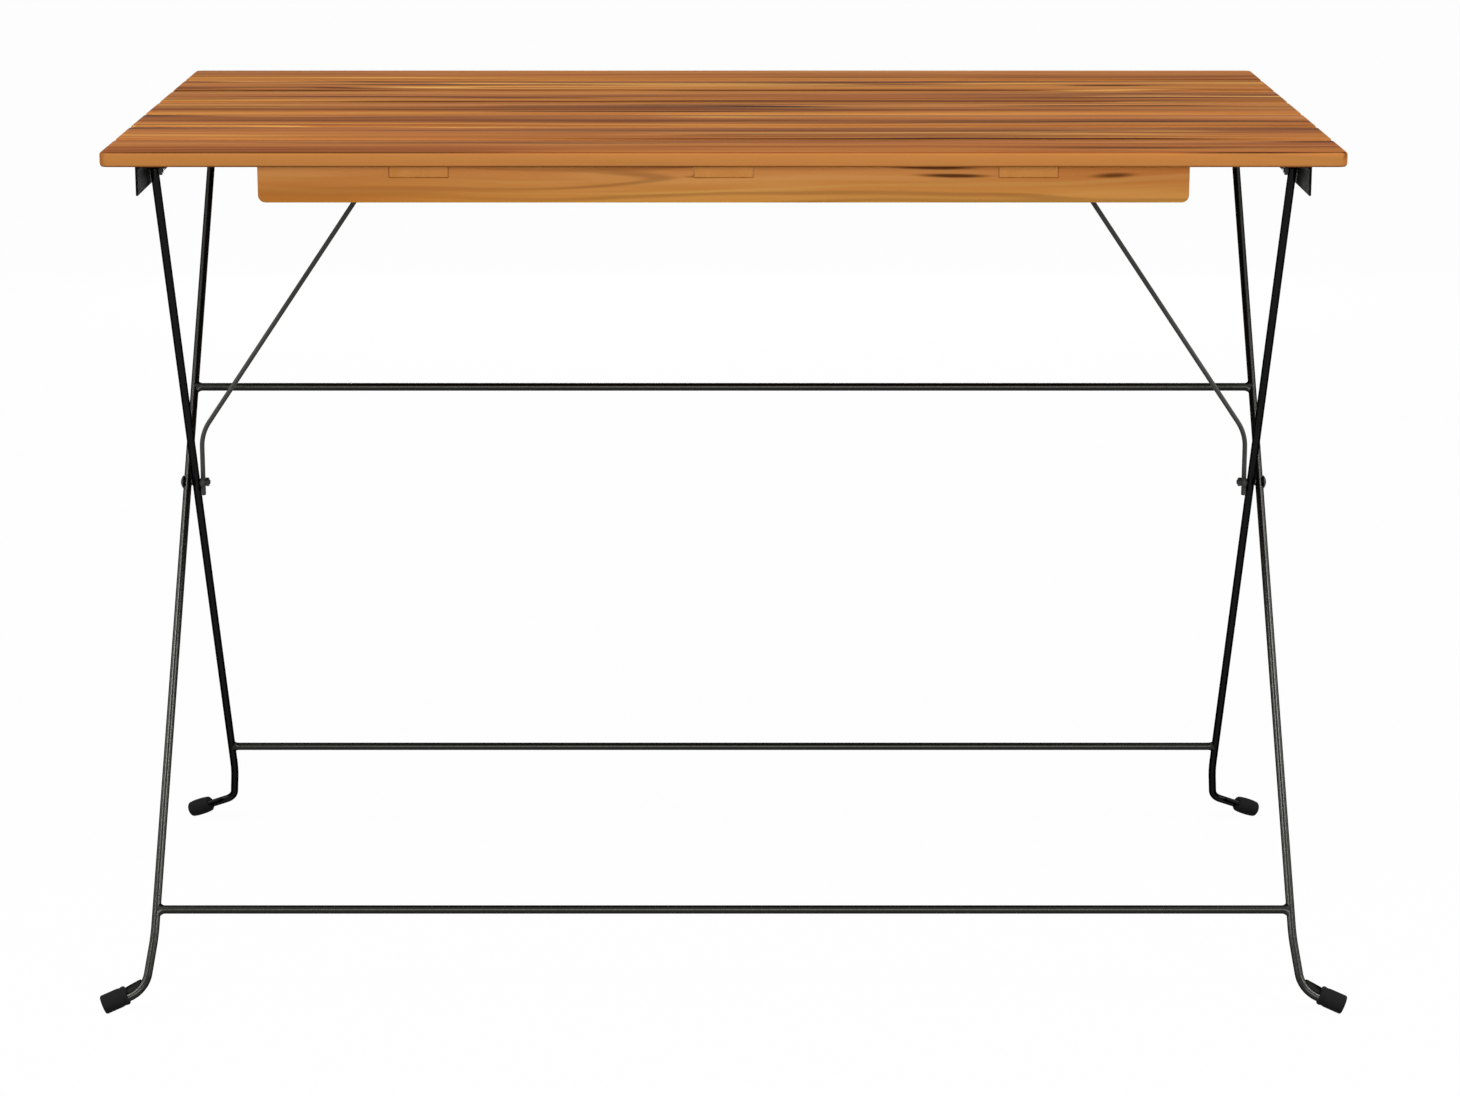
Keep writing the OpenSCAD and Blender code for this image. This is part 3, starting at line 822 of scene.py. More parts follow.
@dataclass
class SlattedTop:
    """Seven slats, three battens and the notched front apron, all planed acacia."""

    finishes: Finishes
    body: str = "tabletop"
    slat_rounds: tuple[float, float, float] = (2 * MM, 3 * MM, 9 * MM)      # edge, end, plan
    batten_rounds: tuple[float, float, float] = (0.8 * MM, 1 * MM, 1 * MM)
    apron_round: float = 6 * MM
    apron_ease: float = 0.7 * MM
    apron_tone: float = 0.7
    notch_slip: float = 0.2 * MM
    slat_tones: tuple[float, ...] = (0.0, 0.50, 0.40, 0.60, 0.45, 0.75, 0.65)   # from the front
    batten_tones: tuple[float, float] = (0.5, 0.9)      # the lowest and the highest
    figure_shift: float = 4.0   # along each axis a board is cut at most this far from the origin
    end_steps: int = 13
    middle_steps: int = 41
    seed: int = 11

    def board(self, low: Array, high: Array, along: int, edge: float, end: float, plan: float) -> Shell:
        """Makes a planed board with eased long edges and rounded ends.

        The section is a rounded rectangle. At distance s from an end its half thickness is
        less by end - sqrt(end^2 - (end - s)^2), and its half width by the same with `plan`.

        Args:
            low: the board's lowest corner.
            high: its highest corner.
            along: the axis that the board is long in, 0 or 1.
            edge: radius of the long edges.
            end: radius at the ends, seen from the side.
            plan: radius of the corners, seen from above.

        Returns:
            The closed shell.
        """
        middle, half = (low + high) / 2, (high - low) / 2
        across = 1 - along
        section = round_corners([(half[across], half[2]), (-half[across], half[2]),
                                 (-half[across], -half[2]), (half[across], -half[2])], [edge] * 4)
        reach = max(end, plan)
        step = reach * (1 - np.cos(np.linspace(0, np.pi / 2, self.end_steps)))
        straight = half[along] - reach * 1.5
        inner = np.linspace(-straight, straight, self.middle_steps)
        stations = np.concatenate([-half[along] + step, inner, half[along] - step[::-1]])
        left = half[along] - np.abs(stations)

        def drop(radius: float) -> Array:
            """Returns how far a corner of this radius has fallen away at each station."""
            return radius - np.sqrt(radius ** 2 - np.clip(radius - left, 0, radius) ** 2)

        rings = np.empty((len(stations), len(section), 3))
        rings[..., along] = stations[:, None]
        rings[..., across] = section[:, 0] * (1 - drop(plan) / half[across])[:, None]
        rings[..., 2] = section[:, 1] * (1 - drop(end) / half[2])[:, None]
        return loft(rings).moved(middle)

    def build(self) -> None:
        """Builds every wooden piece."""
        chance = np.random.default_rng(self.seed)
        for number, tone in enumerate(self.slat_tones, 1):
            node = f"slat_{number}"
            make_piece(f"slat_board_{number}", self.board(*node_box(node), 0, *self.slat_rounds), self.body,
                       self.finishes.slat, [node], grain=(*self.shift(chance), tone))
        for word in ("left", "centre", "right"):
            node = f"batten_{word}"
            make_piece(f"{node}_board", self.board(*node_box(node), 1, *self.batten_rounds), self.body,
                       self.finishes.batten, [node],
                       grain=(*self.shift(chance), chance.uniform(*self.batten_tones)))
        make_piece("apron_board", self.apron(), self.body, self.finishes.apron,
                   ["front_apron"], ease=self.apron_ease, grain=(*self.shift(chance), self.apron_tone))

    def shift(self, chance: np.random.Generator) -> Array:
        """Returns where in the timber's figure the next board is cut."""
        return chance.uniform(-self.figure_shift, self.figure_shift, 3)

    def apron(self) -> Shell:
        """Makes the front board: round lower corners, and a notch round each batten end.

        Returns:
            The closed shell.
        """
        low, high = node_box("front_apron")
        corners, radii = [(high[0], low[2]), (high[0], high[2])], [self.apron_round, 0.0]
        for word in ("right", "centre", "left"):
            near, far = node_box(f"batten_{word}")
            left, right = near[0] - self.notch_slip, far[0] + self.notch_slip
            under = near[2] - self.notch_slip
            corners += [(right, high[2]), (right, under), (left, under), (left, high[2])]
            radii += [0.0] * 4
        corners += [(low[0], high[2]), (low[0], low[2])]
        radii += [0.0, self.apron_round]
        return slab(round_corners(corners, radii), low[1], high[1], (0, 2, 1))


# ---- the steel angles ----


@dataclass
class SteelAngles:
    """The two hot-rolled angles under the slats' ends, notched over the rest bar."""

    layout: Layout
    finishes: Finishes
    body: str = "tabletop"
    notch_front: float = 12 * MM    # from the notch's front edge to the rest bar's middle
    bead: float = 6 * MM            # radius of the bar's weld beads, which the notch clears
    seat: float = 0.3 * MM          # clearance over and behind them
    corner: float = 1.2 * MM
    fillet: float = 2.5 * MM
    toe: float = 0.9 * MM
    ease: float = 0.25 * MM

    def section(self, low: Array, high: Array, under: float) -> Array:
        """Returns the L section in X and Z with its flange cut off at a height."""
        thick = self.layout.sheet
        return round_corners(
            [(high[0], under), (high[0], high[2]), (low[0], high[2]), (low[0], high[2] - thick),
             (high[0] - thick, high[2] - thick), (high[0] - thick, under)],
            [self.toe, self.corner, self.toe * 0.4, self.toe, self.fillet, self.toe])

    def build(self) -> None:
        """Builds both angles, each one section carried along Y with a step at the notch."""
        low, high = node_box("angle_bar_right")
        rest_y, rest_z = self.layout.rest
        full = self.section(low, high, low[2])
        cut = self.section(low, high, rest_z + self.bead + self.seat)
        front, back = rest_y - self.notch_front, rest_y + self.bead + self.seat
        stops = [(low[1], full), (front, full), (front, cut), (back, cut), (back, full), (high[1], full)]
        rings = np.stack([np.stack([s[:, 0], np.full(len(s), y), s[:, 1]], axis=1) for y, s in stops])
        for side in Side:
            make_piece(f"steel_angle_{side.word}", loft(rings).mirrored(side), self.body,
                       self.finishes.angle, [f"angle_bar_{side.word}"],
                       ease=self.ease)


# ---- the stand ----


@dataclass
class Stand:
    """The crossed rod legs with their bars, weld beads, flattened feet and rubber caps."""

    layout: Layout
    finishes: Finishes
    foot_bends: dict[Foot, float] = field(
        default_factory=lambda: {Foot.FRONT: 24 * MM, Foot.REAR: 14 * MM})
    fall_deg: float = 21.0      # a foot's slope, downwards and outwards
    tilt_deg: float = 19.0      # its roll about its own length
    toe_deg: float = 12.0       # its turn to the front, or to the back on a rear foot
    kick_deg: float = 7.0       # how far the legs lean outwards below the kick's height
    kick_height: float = 55 * MM
    kick_bend: float = 200 * MM
    cap_size: tuple[float, float, float] = (22 * MM, 17 * MM, 15.5 * MM)    # length, width, thickness
    cap_ease: float = 1.8 * MM
    cap_sides: int = 72
    cap_steps: tuple[int, int] = (7, 17)    # rings in an eased end, and between the two
    groove: tuple[float, float, float] = (4.6 * MM, 1.1 * MM, 0.5 * MM)     # place, half width, depth
    barrel: float = 1.1 * MM    # how much thinner the rear caps are at their ends
    rod_off: float = 4 * MM     # from the cap's middle to the rod's line beside it
    rod_sides: int = 40
    tongue: tuple[float, float] = (14 * MM, 3 * MM)     # width, thickness
    tongue_round: float = 3 * MM
    tongue_edge: float = 0.8 * MM
    web: tuple[float, float] = (14.5 * MM, 10.5 * MM)   # reach along the bend, and to its side
    plug: float = 4 * MM        # length of rod inside the cap's mouth
    leg_end: float = 3.5 * MM   # length of a leg above its hinge or the rest bar
    end_ease: float = 0.8 * MM
    bead: float = 5.9 * MM      # a weld's radius at the leg
    bead_length: float = 3.4 * MM
    bead_rings: int = 7
    ripple: float = 0.05        # how uneven a bead is
    ripples: int = 7            # waves round it
    saddle: float = 0.9         # how much of the leg's round surface its foot follows
    bar_overlap: float = 0.3 * MM
    bodies: dict[Foot, str] = field(
        default_factory=lambda: {Foot.FRONT: "outer_frame", Foot.REAR: "inner_frame"})

    def foot_turn(self, foot: Foot) -> Array:
        """Works out how a right foot lies: tilted about X, fallen about Y, turned about Z.

        Args:
            foot: its pair.

        Returns:
            The 3 x 3 rotation from the foot's own axes, X along it, to the frame's.
        """
        a, b, c = (math.radians(v) for v in (-foot.value * self.tilt_deg, self.fall_deg,
                                             foot.value * self.toe_deg))
        about_x = np.array([[1, 0, 0], [0, math.cos(a), -math.sin(a)], [0, math.sin(a), math.cos(a)]])
        about_y = np.array([[math.cos(b), 0, math.sin(b)], [0, 1, 0], [-math.sin(b), 0, math.cos(b)]])
        about_z = np.array([[math.cos(c), -math.sin(c), 0], [math.sin(c), math.cos(c), 0], [0, 0, 1]])
        return about_z @ about_y @ about_x

    def cap_middle(self, foot: Foot) -> Array:
        """Returns the middle of a right foot's cap."""
        return node_middle(f"{foot.name.lower()}_cap_right")

    def leg_path(self, foot: Foot) -> Array:
        """Works out a right leg's centre line from its top to where it runs into its cap.

        From the kick's height down the line leans outwards. Its knee is where that stretch
        meets the foot's own line, which runs beside the cap's middle: going back a distance
        t along it, X falls by way_x t and the leaning stretch's X by tan(kick) times the
        height gained.

        Args:
            foot: the foot that the leg ends in.

        Returns:
            The line as an N x 3 array.
        """
        lay, turn = self.layout, self.foot_turn(foot)
        way, beside = turn[:, 0], self.cap_middle(foot) + turn[:, 1] * foot.value * self.rod_off
        lean = math.tan(math.radians(self.kick_deg))
        side = lay.leg_x(foot)
        back = (beside[0] - side - lean * (self.kick_height - beside[2])) / (way[0] + lean * way[2])
        knee = beside - way * back
        top = np.array([side, *lay.leg_top(foot)])
        line = lay.leg_line(foot)
        kink = top + line * (self.kick_height - top[2]) / line[2]
        end = beside - way * (self.cap_size[0] / 2 - self.plug)
        return bent_path([top + line * self.leg_end, kink, knee, end],
                         [self.kick_bend, self.foot_bends[foot]], spacing=2 * MM)

    def leg(self, foot: Foot) -> Shell:
        """Makes a right leg: its rod, and the flattened tongue with its web in the bend.

        The tongue's outline is carried through its thickness. Near each face it shrinks
        towards its middle, so that its edges are eased.

        Args:
            foot: the foot that the leg ends in.

        Returns:
            The rod and the tongue as one shell.
        """
        path = self.leg_path(foot)
        half_way = path[len(path) // 2]
        normal = np.cross(path[0] - half_way, path[-1] - half_way)
        normal /= np.linalg.norm(normal)
        path, shrink = end_rounding(path, self.end_ease, both=False)
        rod = sweep(path, normal, circle(self.layout.rod / 2, self.rod_sides), shrink)
        length, width, _ = self.cap_size
        half, thick = self.tongue[0] / 2, self.tongue[1] / 2
        tip, back = length / 2 - self.tongue_round, -length / 2
        mouth = back - 1 * MM
        reach, wide = self.web
        outline = round_corners(
            [(tip, -half), (tip, half), (back, half), (mouth, width / 2), (back - reach, wide),
             (back - reach + 2 * MM, -self.rod_off), (mouth, -half)],
            [self.tongue_round, self.tongue_round, 0, 1 * MM, 1 * MM, 0, 0], 4) * [1, -foot.value]
        edge = self.tongue_edge
        levels = [(-thick, edge), (-thick + edge * 0.3, edge * 0.3), (-thick + edge, 0.0),
                  (thick - edge, 0.0), (thick - edge * 0.3, edge * 0.3), (thick, edge)]
        rings = np.stack([np.column_stack([outline * (1 - taken / half), np.full(len(outline), z)])
                          for z, taken in levels])
        return joined([rod, self.laid(loft(rings), foot)])

    def laid(self, shell: Shell, foot: Foot) -> Shell:
        """Returns a shell, made about the cap's middle, where the right foot stands."""
        return shell.turned(self.foot_turn(foot)).moved(self.cap_middle(foot))

    def weld(self, place: Array, leg_way: Array, side: Side) -> Shell:
        """Makes the fillet weld between a bar and a leg.

        At share t of its length the bead's ring is an ellipse whose half sizes fall from
        the bead's foot to the bar's radius as (1 - t)^2. Its foot lies on the leg's round
        surface, and a slow ripple in each ring is the welder's hand.

        Args:
            place: where the bar's and the leg's centre lines meet.
            leg_way: the leg's unit direction.
            side: the leg's side.

        Returns:
            The closed shell.
        """
        radius = self.layout.rod / 2
        inward = np.array([-float(side.value), 0.0, 0.0])
        across = np.cross(inward, leg_way)
        share = np.linspace(0, 1, self.bead_rings)[:, None]
        turn = np.linspace(0, 2 * np.pi, self.rod_sides, endpoint=False)[None]
        uneven = 1 + self.ripple * np.sin(self.ripples * turn + 2.1 * side.value) * (1 - share)
        tall = (radius + (self.bead - radius) * (1 - share) ** 2) * uneven
        wide = radius * (1.005 - 0.015 * (1 - share)) * np.ones_like(turn)
        up, out = tall * np.cos(turn), wide * np.sin(turn)
        surface = np.sqrt(np.maximum(radius ** 2 - out ** 2, 0)) * self.saddle
        depth = (1 - share) * surface + share * (radius + self.bead_length)
        return loft(place + up[..., None] * leg_way + out[..., None] * across + depth[..., None] * inward)

    def crossbar(self, node: str, foot: Foot) -> Shell:
        """Makes a bar with its two weld beads, between the legs of one pair.

        Args:
            node: the bar's CAD node, which gives its height and depth.
            foot: the pair's foot.

        Returns:
            The bar and its beads as one shell.
        """
        _, y, z = node_middle(node)
        reach = self.layout.leg_x(foot) - self.layout.rod / 2 + self.bar_overlap
        path = np.array([[-reach, y, z], [0, y, z], [reach, y, z]])
        bar = sweep(path, UPWARDS, circle(self.layout.rod / 2, self.rod_sides))
        welds = [self.weld(np.array([side.value * self.layout.leg_x(foot), y, z]),
                           self.layout.leg_line(foot), side) for side in Side]
        return joined([bar, *welds])

    def cap(self, foot: Foot) -> Shell:
        """Makes a right foot's rubber cap.

        Along its length the section is an ellipse. Its half sizes are the cap's own,
        less the rounding of the two ends, with a groove behind the mouth on a front cap or
        a slight barrel on a rear one.

        Args:
            foot: the cap's foot.

        Returns:
            The closed shell.
        """
        length, width, thick = self.cap_size
        half, ease = length / 2, self.cap_ease
        angle = np.linspace(0, np.pi / 2, self.cap_steps[0])
        run, fall = ease * (1 - np.cos(angle)), ease * (1 - np.sin(angle))
        body = np.linspace(-half + 1.35 * ease, half - 1.35 * ease, self.cap_steps[1])
        stations = np.concatenate([-half + run, body, half - run[::-1]])
        drop = np.concatenate([fall, np.zeros(len(body)), fall[::-1]])
        if foot is Foot.FRONT:
            place, spread, depth = self.groove
            swell = -depth * np.exp(-((stations + half - place) / spread) ** 2)
        else:
            swell = -self.barrel * np.abs(stations / half) ** 2.5
        ring, halves = circle(1, self.cap_sides), np.array([width, thick]) / 2
        rings = np.stack([np.column_stack([np.full(len(ring), x), ring * (halves + s - d)])
                          for x, d, s in zip(stations, drop, swell)])
        return self.laid(loft(rings), foot)

    def build(self) -> None:
        """Builds the legs, bars and caps of both pairs."""
        # the inner legs take the darker copy of the rods' coat, which is painted shade
        for foot, pair, coat in ((Foot.FRONT, "outer", self.finishes.rod),
                                 (Foot.REAR, "inner", self.finishes.inner_rod_painted_shade)):
            word, body = foot.name.lower(), self.bodies[foot]
            for side in Side:
                make_piece(f"{pair}_rod_leg_{side.word}", self.leg(foot).mirrored(side), body,
                           coat, [f"{pair}_leg_{side.word}"])
                make_piece(f"{word}_foot_cap_{side.word}", self.cap(foot).mirrored(side), body,
                           self.finishes.rubber, [f"{word}_cap_{side.word}"])
        for node, foot in (("outer_lower_bar", Foot.FRONT), ("outer_upper_bar", Foot.FRONT),
                           ("rest_bar", Foot.FRONT), ("inner_lower_bar", Foot.REAR)):
            make_piece(f"{node}_welded", self.crossbar(node, foot), self.bodies[foot],
                       self.finishes.rod, [node])


# ---- stays and keepers ----


@dataclass
class Stays:
    """The two hooked wire stays and the folded keepers that they catch in."""

    layout: Layout
    finishes: Finishes
    tail: float = 12 * MM       # below the pivot
    rise: float = 44 * MM       # upright, above the pivot
    slope_deg: float = 34.0     # the sloping rod, from upright
    bends: tuple[float, float] = (40 * MM, 8 * MM)
    end_ease: float = 0.9 * MM
    eye: float = 10 * MM
    eye_round: float = 1.4 * MM
    keeper_sheet: float = 1.2 * MM
    keeper_ease: float = 0.15 * MM
    catch: float = 2.2 * MM     # depth of the keeper's front lip
    seat: float = 0.3 * MM      # clearance behind the hook

    def stay(self) -> Shell:
        """Makes the right stay: tail, eye, sloping rod and hook.

        Returns:
            The rod and its eye as one shell.
        """
        lay = self.layout
        low, high = node_box("stay_right")
        y, z = lay.pivot
        hook_z = high[2] - lay.stay / 2
        hook_x = lay.stay_x - (hook_z - z - self.rise) * math.tan(math.radians(self.slope_deg))
        path = bent_path([np.array([x, y, up]) for x, up in (
            (lay.stay_x, z - self.tail), (lay.stay_x, z + self.rise), (hook_x, hook_z), (low[0], hook_z))],
            self.bends)
        path, shrink = end_rounding(path, self.end_ease)
        rod = sweep(path, np.array([0.0, 1.0, 0.0]), circle(lay.stay / 2, 28), shrink)
        half, rim, bore = lay.stay / 2, self.eye / 2, 0.4 * MM
        profile = round_corners([(bore, -half), (rim, -half), (rim, half), (bore, half)],
                                [0, self.eye_round, self.eye_round, 0], 5)
        return joined([rod, lathe(profile, np.array([lay.stay_x, y, z]), RIGHTWARDS, 40)])

    def keeper(self, low: Array, high: Array) -> Shell:
        """Makes a keeper: one strip profile in Y and Z, as wide as its node.

        Args:
            low: the right keeper's lowest corner.
            high: its highest corner.

        Returns:
            The closed shell.
        """
        sheet = self.keeper_sheet
        back = self.layout.pivot[0] + self.layout.stay / 2 + self.seat
        top, under = high[2], high[2] - sheet
        outline = round_corners(
            [(low[1], top), (low[1], top - self.catch), (low[1] + sheet, top - self.catch),
             (low[1] + sheet, under), (back, under), (back, low[2]), (back + sheet, low[2]),
             (back + sheet, under), (high[1], under), (high[1], top)],
            [r * MM for r in (0.9, 0.3, 0.3, 0.4, 0.4, 0.4, 0.4, 0.6, 0.3, 0.3)], 4)
        return slab(outline, low[0], high[0], (1, 2, 0))

    def build(self) -> None:
        """Builds both stays and both keepers."""
        low, high = node_box("stay_keeper_right")
        for side in Side:
            make_piece(f"wire_stay_{side.word}", self.stay().mirrored(side), f"{side.word}_stay",
                       self.finishes.stay, [f"stay_{side.word}"])
            make_piece(f"folded_keeper_{side.word}", self.keeper(low, high).mirrored(side), "tabletop",
                       self.finishes.stay, [f"stay_keeper_{side.word}"],
                       ease=self.keeper_ease)


# ---- fasteners ----


@dataclass
class Fasteners:
    """Domed bolts and chamfered nuts at the pivots and hinges, and every wood screw."""

    layout: Layout
    finishes: Finishes
    shank: float = 4 * MM
    head: float = 11.5 * MM
    head_height: float = 2.7 * MM
    head_rim: float = 0.5 * MM
    head_chamfer: tuple[float, float] = (0.2 * MM, 0.15 * MM)
    nut_flats: float = 7 * MM
    nut_height: float = 3.2 * MM
    nut_levels: tuple[float, ...] = (0, 0.35, 0.7, 2.5, 2.85, 3.2)      # of a 3.2 mm nut
    nut_gap: float = 0.1 * MM   # the nut is off the face that it is tightened against
    nut_face: float = 0.97      # the round face inside the flats
    nut_slope: float = 0.9      # of the cone that takes off the corners
    past_nut: float = 1 * MM    # length of bolt beyond the nut
    pitch: float = 0.7 * MM
    thread_start: float = 0.3 * MM
    thread_depth: float = 0.18 * MM
    thread_turns: int = 6
    point: float = 0.4 * MM     # chamfer of the bolt's end
    wood_screw: tuple[float, float] = (7 * MM, 2 * MM)      # head's diameter and height
    keeper_screw: tuple[float, float] = (5 * MM, 1.4 * MM)
    pan_rings: tuple[float, ...] = (0.08, 0.3, 0.55, 0.62, 0.8, 0.93, 1.0)      # of the head's radius
    pan_fall: float = 0.35      # of the head's height, from its middle to its rim
    cross_arm: float = 0.45     # sine of twice the angle to either side of an arm's line
    cross_core: float = 0.1     # half size of the recess's middle, as a share of the head
    cross_reach: float = 0.29   # half size of the whole recess
    cross_depth: float = 0.55   # of the head's height
    screw_shank: float = 0.25   # its radius, as a share of the head
    screw_tip: float = 1.5 * MM

    def bolt(self, place: Array, outer: float, inner: float) -> Shell:
        """Makes a right bolt with a domed head.

        The dome's radius at height h is that of a sphere through its rim and crown, with
        a short upright rim. The end beyond the nut is threaded, a zigzag of half pitches.

        Args:
            place: Y and Z of its axis.
            outer: X of the face that its head sits on.
            inner: X of the face that its nut sits on.

        Returns:
            The closed shell.
        """
        rim, crown, core = self.head / 2, self.head_height, self.shank / 2
        rise = crown - self.head_rim
        sphere = (rim ** 2 + rise ** 2) / (2 * rise)
        angle = np.linspace(math.asin(rim / sphere), 0.02, 12)
        dome = np.stack([sphere * np.sin(angle), crown - sphere * (1 - np.cos(angle))], axis=1)
        end = inner - outer - self.nut_height - self.past_nut
        step = np.arange(2 * self.thread_turns)
        thread = np.stack([core - self.thread_depth * (step % 2),
                           end + self.thread_start + step * self.pitch / 2], axis=1)
        inwards, upwards = self.head_chamfer
        profile = np.concatenate([[[core - self.point, end]], thread,
                                  [[core, 0.0], [rim - inwards, 0.0], [rim, upwards]], dome])
        return lathe(profile, np.array([outer, *place]), RIGHTWARDS)

    def nut(self, place: Array, face: float) -> Shell:
        """Makes a hexagon nut whose corners are chamfered at both faces.

        Its radius at angle a is the smaller of the hexagon's, flats / 2 / cos(a within a
        flat), and a cone's that starts inside the corners at each face.

        Args:
            place: Y and Z of its axis.
            face: X of the face that it is tightened against.

        Returns:
            The closed shell.
        """
        height = np.array(self.nut_levels) / self.nut_levels[-1] * self.nut_height
        turn = np.linspace(0, 2 * np.pi, 72, endpoint=False)
        flat = (turn + np.pi / 6) % (np.pi / 3) - np.pi / 6
        hexagon = self.nut_flats / 2 / np.cos(flat)
        from_face = np.minimum(height, self.nut_height - height)[:, None]
        cone = self.nut_flats / 2 * self.nut_face + from_face * self.nut_slope
        radius = np.minimum(hexagon[None], cone)
        rings = np.stack([np.broadcast_to(face - height[:, None], radius.shape),
                          place[0] + radius * np.cos(turn), place[1] + radius * np.sin(turn)], axis=-1)
        return loft(rings)

    def screw_heads(self, node: str, diameter: float, depth: float) -> Shell:
        """Makes a pan head with a cross recess for each screw of a grouped node.

        The pan is a dome; within the cross's arms its surface lies the recess's depth
        deeper. Each solid of the node gives one head's place.

        Args:
            node: the CAD node that holds the screws.
            diameter: the head's diameter.
            depth: the head's height.

        Returns:
            All heads and shanks as one shell.
        """
        points = np.array([v.co for v in frame["nodes"][node].data.vertices])
        bottom, top = points[:, 2].min(), points[:, 2].max()
        places: dict[tuple[float, float], list[tuple[float, float]]] = {}
        for x, y in points[points[:, 2] < bottom + 0.05 * MM, :2]:
            near = next((k for k in places if math.hypot(k[0] - x, k[1] - y) < diameter), (x, y))
            places.setdefault(near, []).append((x, y))
        sides = 32
        turn = np.linspace(0, 2 * np.pi, sides, endpoint=False)
        radius = np.array(self.pan_rings)[:, None] * diameter / 2
        pan = depth * (1 - self.pan_fall * (radius / (diameter / 2)) ** 2)
        cross = (np.abs(np.sin(2 * turn)) < self.cross_arm) | (radius < diameter * self.cross_core)
        recess = np.where((radius < diameter * self.cross_reach) & cross, depth * self.cross_depth, 0.0)
        lower = pan - recess
        shank = diameter * self.screw_shank
        out = np.concatenate([np.broadcast_to(radius, lower.shape), np.broadcast_to(
            np.array([[diameter / 2], [shank], [shank], [shank * 0.3]]), (4, sides))])
        up = np.concatenate([bottom + depth - lower, np.broadcast_to(
            np.array([[bottom + depth], [bottom + depth], [top - self.screw_tip], [top]]), (4, sides))])
        one = np.stack([out * np.cos(turn), out * np.sin(turn), up], axis=-1)
        return joined(loft(one).moved((*np.mean(found, axis=0), 0)) for found in places.values())

    def build(self) -> None:
        """Builds the bolts, nuts and screws, and finishes the frame's own washers."""
        lay, steel, coat = self.layout, "blackened_fastener_steel", self.finishes.fastener
        pivot_faces = (lay.outer_x + lay.rod / 2, lay.stay_x - lay.stay / 2)
        hinge_faces = (lay.angle_x + lay.sheet, lay.inner_x - lay.rod / 2)
        for word, place, (outer, inner), body in (("pivot", lay.pivot, pivot_faces, "outer_frame"),
                                                  ("hinge", lay.hinge, hinge_faces, "tabletop")):
            for side in Side:
                make_piece(f"domed_{word}_bolt_{side.word}", self.bolt(place, outer, inner).mirrored(side),
                           body, coat, [f"{word}_bolt_{side.word}"])
                make_piece(f"hexagon_{word}_nut_{side.word}",
                           self.nut(place, inner - self.nut_gap).mirrored(side), body, coat,
                           [f"{word}_nut_{side.word}"], crease_deg=20)
        for node, size in (("batten_screws", self.wood_screw), ("angle_bar_screws", self.wood_screw),
                           ("keeper_screws", self.keeper_screw)):
            make_piece(f"pan_head_{node}", self.screw_heads(node, *size), "tabletop", coat, [node])
        for node in ("pivot_washers", "hinge_washers"):
            mesh = frame["nodes"][node].data
            mesh.materials.clear()
            mesh.materials.append(coat)
            log.info("%s keeps its own shape", node)


# ---- camera, floor and light ----


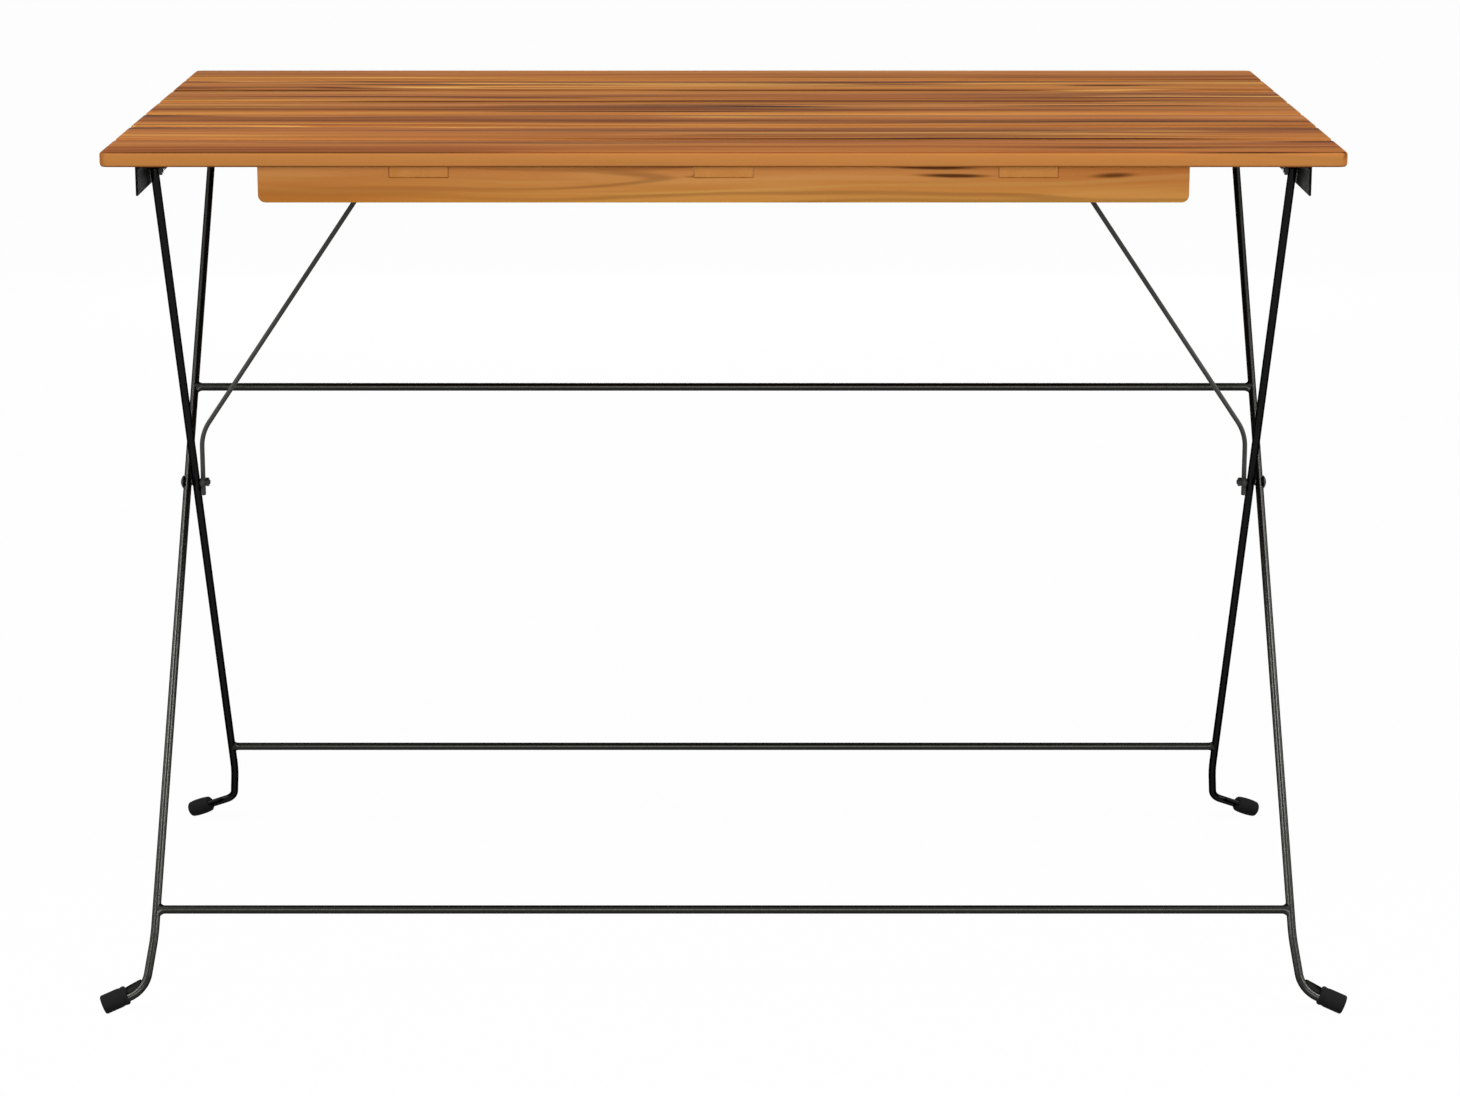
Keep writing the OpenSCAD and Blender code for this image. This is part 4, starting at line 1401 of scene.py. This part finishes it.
@dataclass
class Studio:
    """The camera in front of the table, a pale floor and soft lamps."""

    lens: float = 87.41
    sensor: float = 36.0
    pitch_deg: float = 12.55
    distance: float = 2.809
    height: float = 1.119
    shift: tuple[float, float] = (0.00445, -0.0897)
    clip: tuple[float, float] = (0.05, 60.0)
    floor_half: float = 9.0
    floor_tone: float = 0.2     # what the floor gives back to the object
    floor_seen: float = 0.5     # its own tone to the camera, on which the shadow lies
    floor_white: float = 0.98   # how far the camera sees it as plain white
    ambient: float = 0.1

    def camera(self) -> None:
        """Places the camera in front of the top's front edge, looking slightly down."""
        data = bpy.data.cameras.new("front_camera")
        data.lens, data.sensor_width = self.lens, self.sensor
        data.shift_x, data.shift_y = self.shift
        data.clip_start, data.clip_end = self.clip
        camera = bpy.data.objects.new("front_camera", data)
        front = node_box("slat_1")[0][1]
        camera.location = (0, front - self.distance, self.height)
        camera.rotation_euler = (math.radians(90 - self.pitch_deg), 0, 0)
        bpy.context.scene.collection.objects.link(camera)
        bpy.context.scene.camera = camera

    @staticmethod
    def lamp(name: str, place: Sequence[float], aim: Sequence[float], size: tuple[float, float],
             power: float) -> None:
        """Adds one soft rectangular lamp.

        Args:
            name: the lamp's name.
            place: where it hangs.
            aim: the point it faces.
            size: its width and height.
            power: its power in watts.
        """
        data = bpy.data.lights.new(name, "AREA")
        data.shape, data.size, data.size_y, data.energy = "RECTANGLE", *size, power
        lamp = bpy.data.objects.new(name, data)
        lamp.location = place
        lamp.visible_camera = False
        way = Vector(aim) - Vector(place)
        lamp.rotation_euler = way.to_track_quat("-Z", "Y").to_euler()
        bpy.context.scene.collection.objects.link(lamp)

    @staticmethod
    def seen(tree: bpy.types.NodeTree, ray: bpy.types.Node) -> bpy.types.NodeSocket:
        """Returns 1 for what is seen straight on, in gloss or through glass, and 0 otherwise."""
        gloss = add(tree, "Math", {0: ray.outputs["Is Glossy Ray"], 1: ray.outputs["Is Transmission Ray"]},
                    operation="MAXIMUM")
        return add(tree, "Math", {0: ray.outputs["Is Camera Ray"], 1: gloss.outputs[0]},
                   operation="MAXIMUM").outputs[0]

    def world(self) -> None:
        """Lights the room softly, and shows white to the camera and in gloss."""
        world = bpy.data.worlds.new("studio_world")
        bpy.context.scene.world = world
        world.use_nodes = True
        tree = world.node_tree
        tree.nodes.clear()
        ray = add(tree, "LightPath")
        strength = add(tree, "MapRange",
                       {"Value": self.seen(tree, ray), "To Min": self.ambient, "To Max": 1.0})
        back = add(tree, "Background", {"Color": (1, 1, 1, 1), "Strength": strength.outputs[0]})
        add(tree, "OutputWorld", {"Surface": back.outputs[0]})

    def floor(self) -> None:
        """Lays a wide pale floor that keeps a light shadow."""
        half = self.floor_half
        mesh = bpy.data.meshes.new("studio_floor")
        mesh.from_pydata([(-half, -half, 0), (half, -half, 0), (half, half, 0), (-half, half, 0)],
                         [], [(0, 1, 2, 3)])
        material, tree = blank_material("pale_floor")
        ray = add(tree, "LightPath")
        tone = add(tree, "MapRange", {"Value": ray.outputs["Is Camera Ray"], "To Min": self.floor_tone,
                                      "To Max": self.floor_seen})
        matt = add(tree, "BsdfDiffuse", {"Color": tone.outputs[0]})
        white = add(tree, "Emission", {"Color": (1, 1, 1, 1), "Strength": 1.0})
        share = add(tree, "Math", {0: self.seen(tree, ray), 1: self.floor_white}, operation="MULTIPLY")
        mix = add(tree, "MixShader", {0: share.outputs[0], 1: matt.outputs[0], 2: white.outputs[0]})
        add(tree, "OutputMaterial", {"Surface": mix.outputs[0]})
        mesh.materials.append(material)
        floor = bpy.data.objects.new("studio_floor", mesh)
        bpy.context.scene.collection.objects.link(floor)

    def build(self) -> None:
        """Sets up the whole studio."""
        bpy.context.scene.view_settings.view_transform = "Standard"
        self.camera()
        self.floor()
        self.world()
        for kind, (x, y, z), size, power in (("key_soft_box", (1.8, -1.2, 2.7), (0.7, 0.7), 57),
                                             ("side_strip", (2.3, 0.1, 1.2), (0.4, 1.4), 18)):
            for side in Side:
                self.lamp(f"{side.word}_{kind}", (side.value * x, y, z), (side.value * 0.4, 0, 0.4),
                          size, power)
        # the rear box hangs below the tabletop's height, so that it lays no sheen on the slats
        for name, place, size, power in (("rear_soft_box", (0, 3.2, 0.45), (2.0, 0.5), 34),
                                         ("front_soft_box", (0.2, -3.4, 1.1), (2.4, 0.8), 66)):
            self.lamp(name, place, (0, 0, 0.5), size, power)


def main() -> None:
    """Builds the studio and every sub-assembly in order."""
    logging.basicConfig(level=logging.INFO, format="%(name)s: %(message)s")
    Studio().build()
    finishes, layout = Finishes(), Layout()
    for part in (SlattedTop(finishes), SteelAngles(layout, finishes), Stand(layout, finishes),
                 Stays(layout, finishes), Fasteners(layout, finishes)):
        part.build()
        log.info("%s is built", type(part).__name__)


if __name__ == "__main__":
    main()
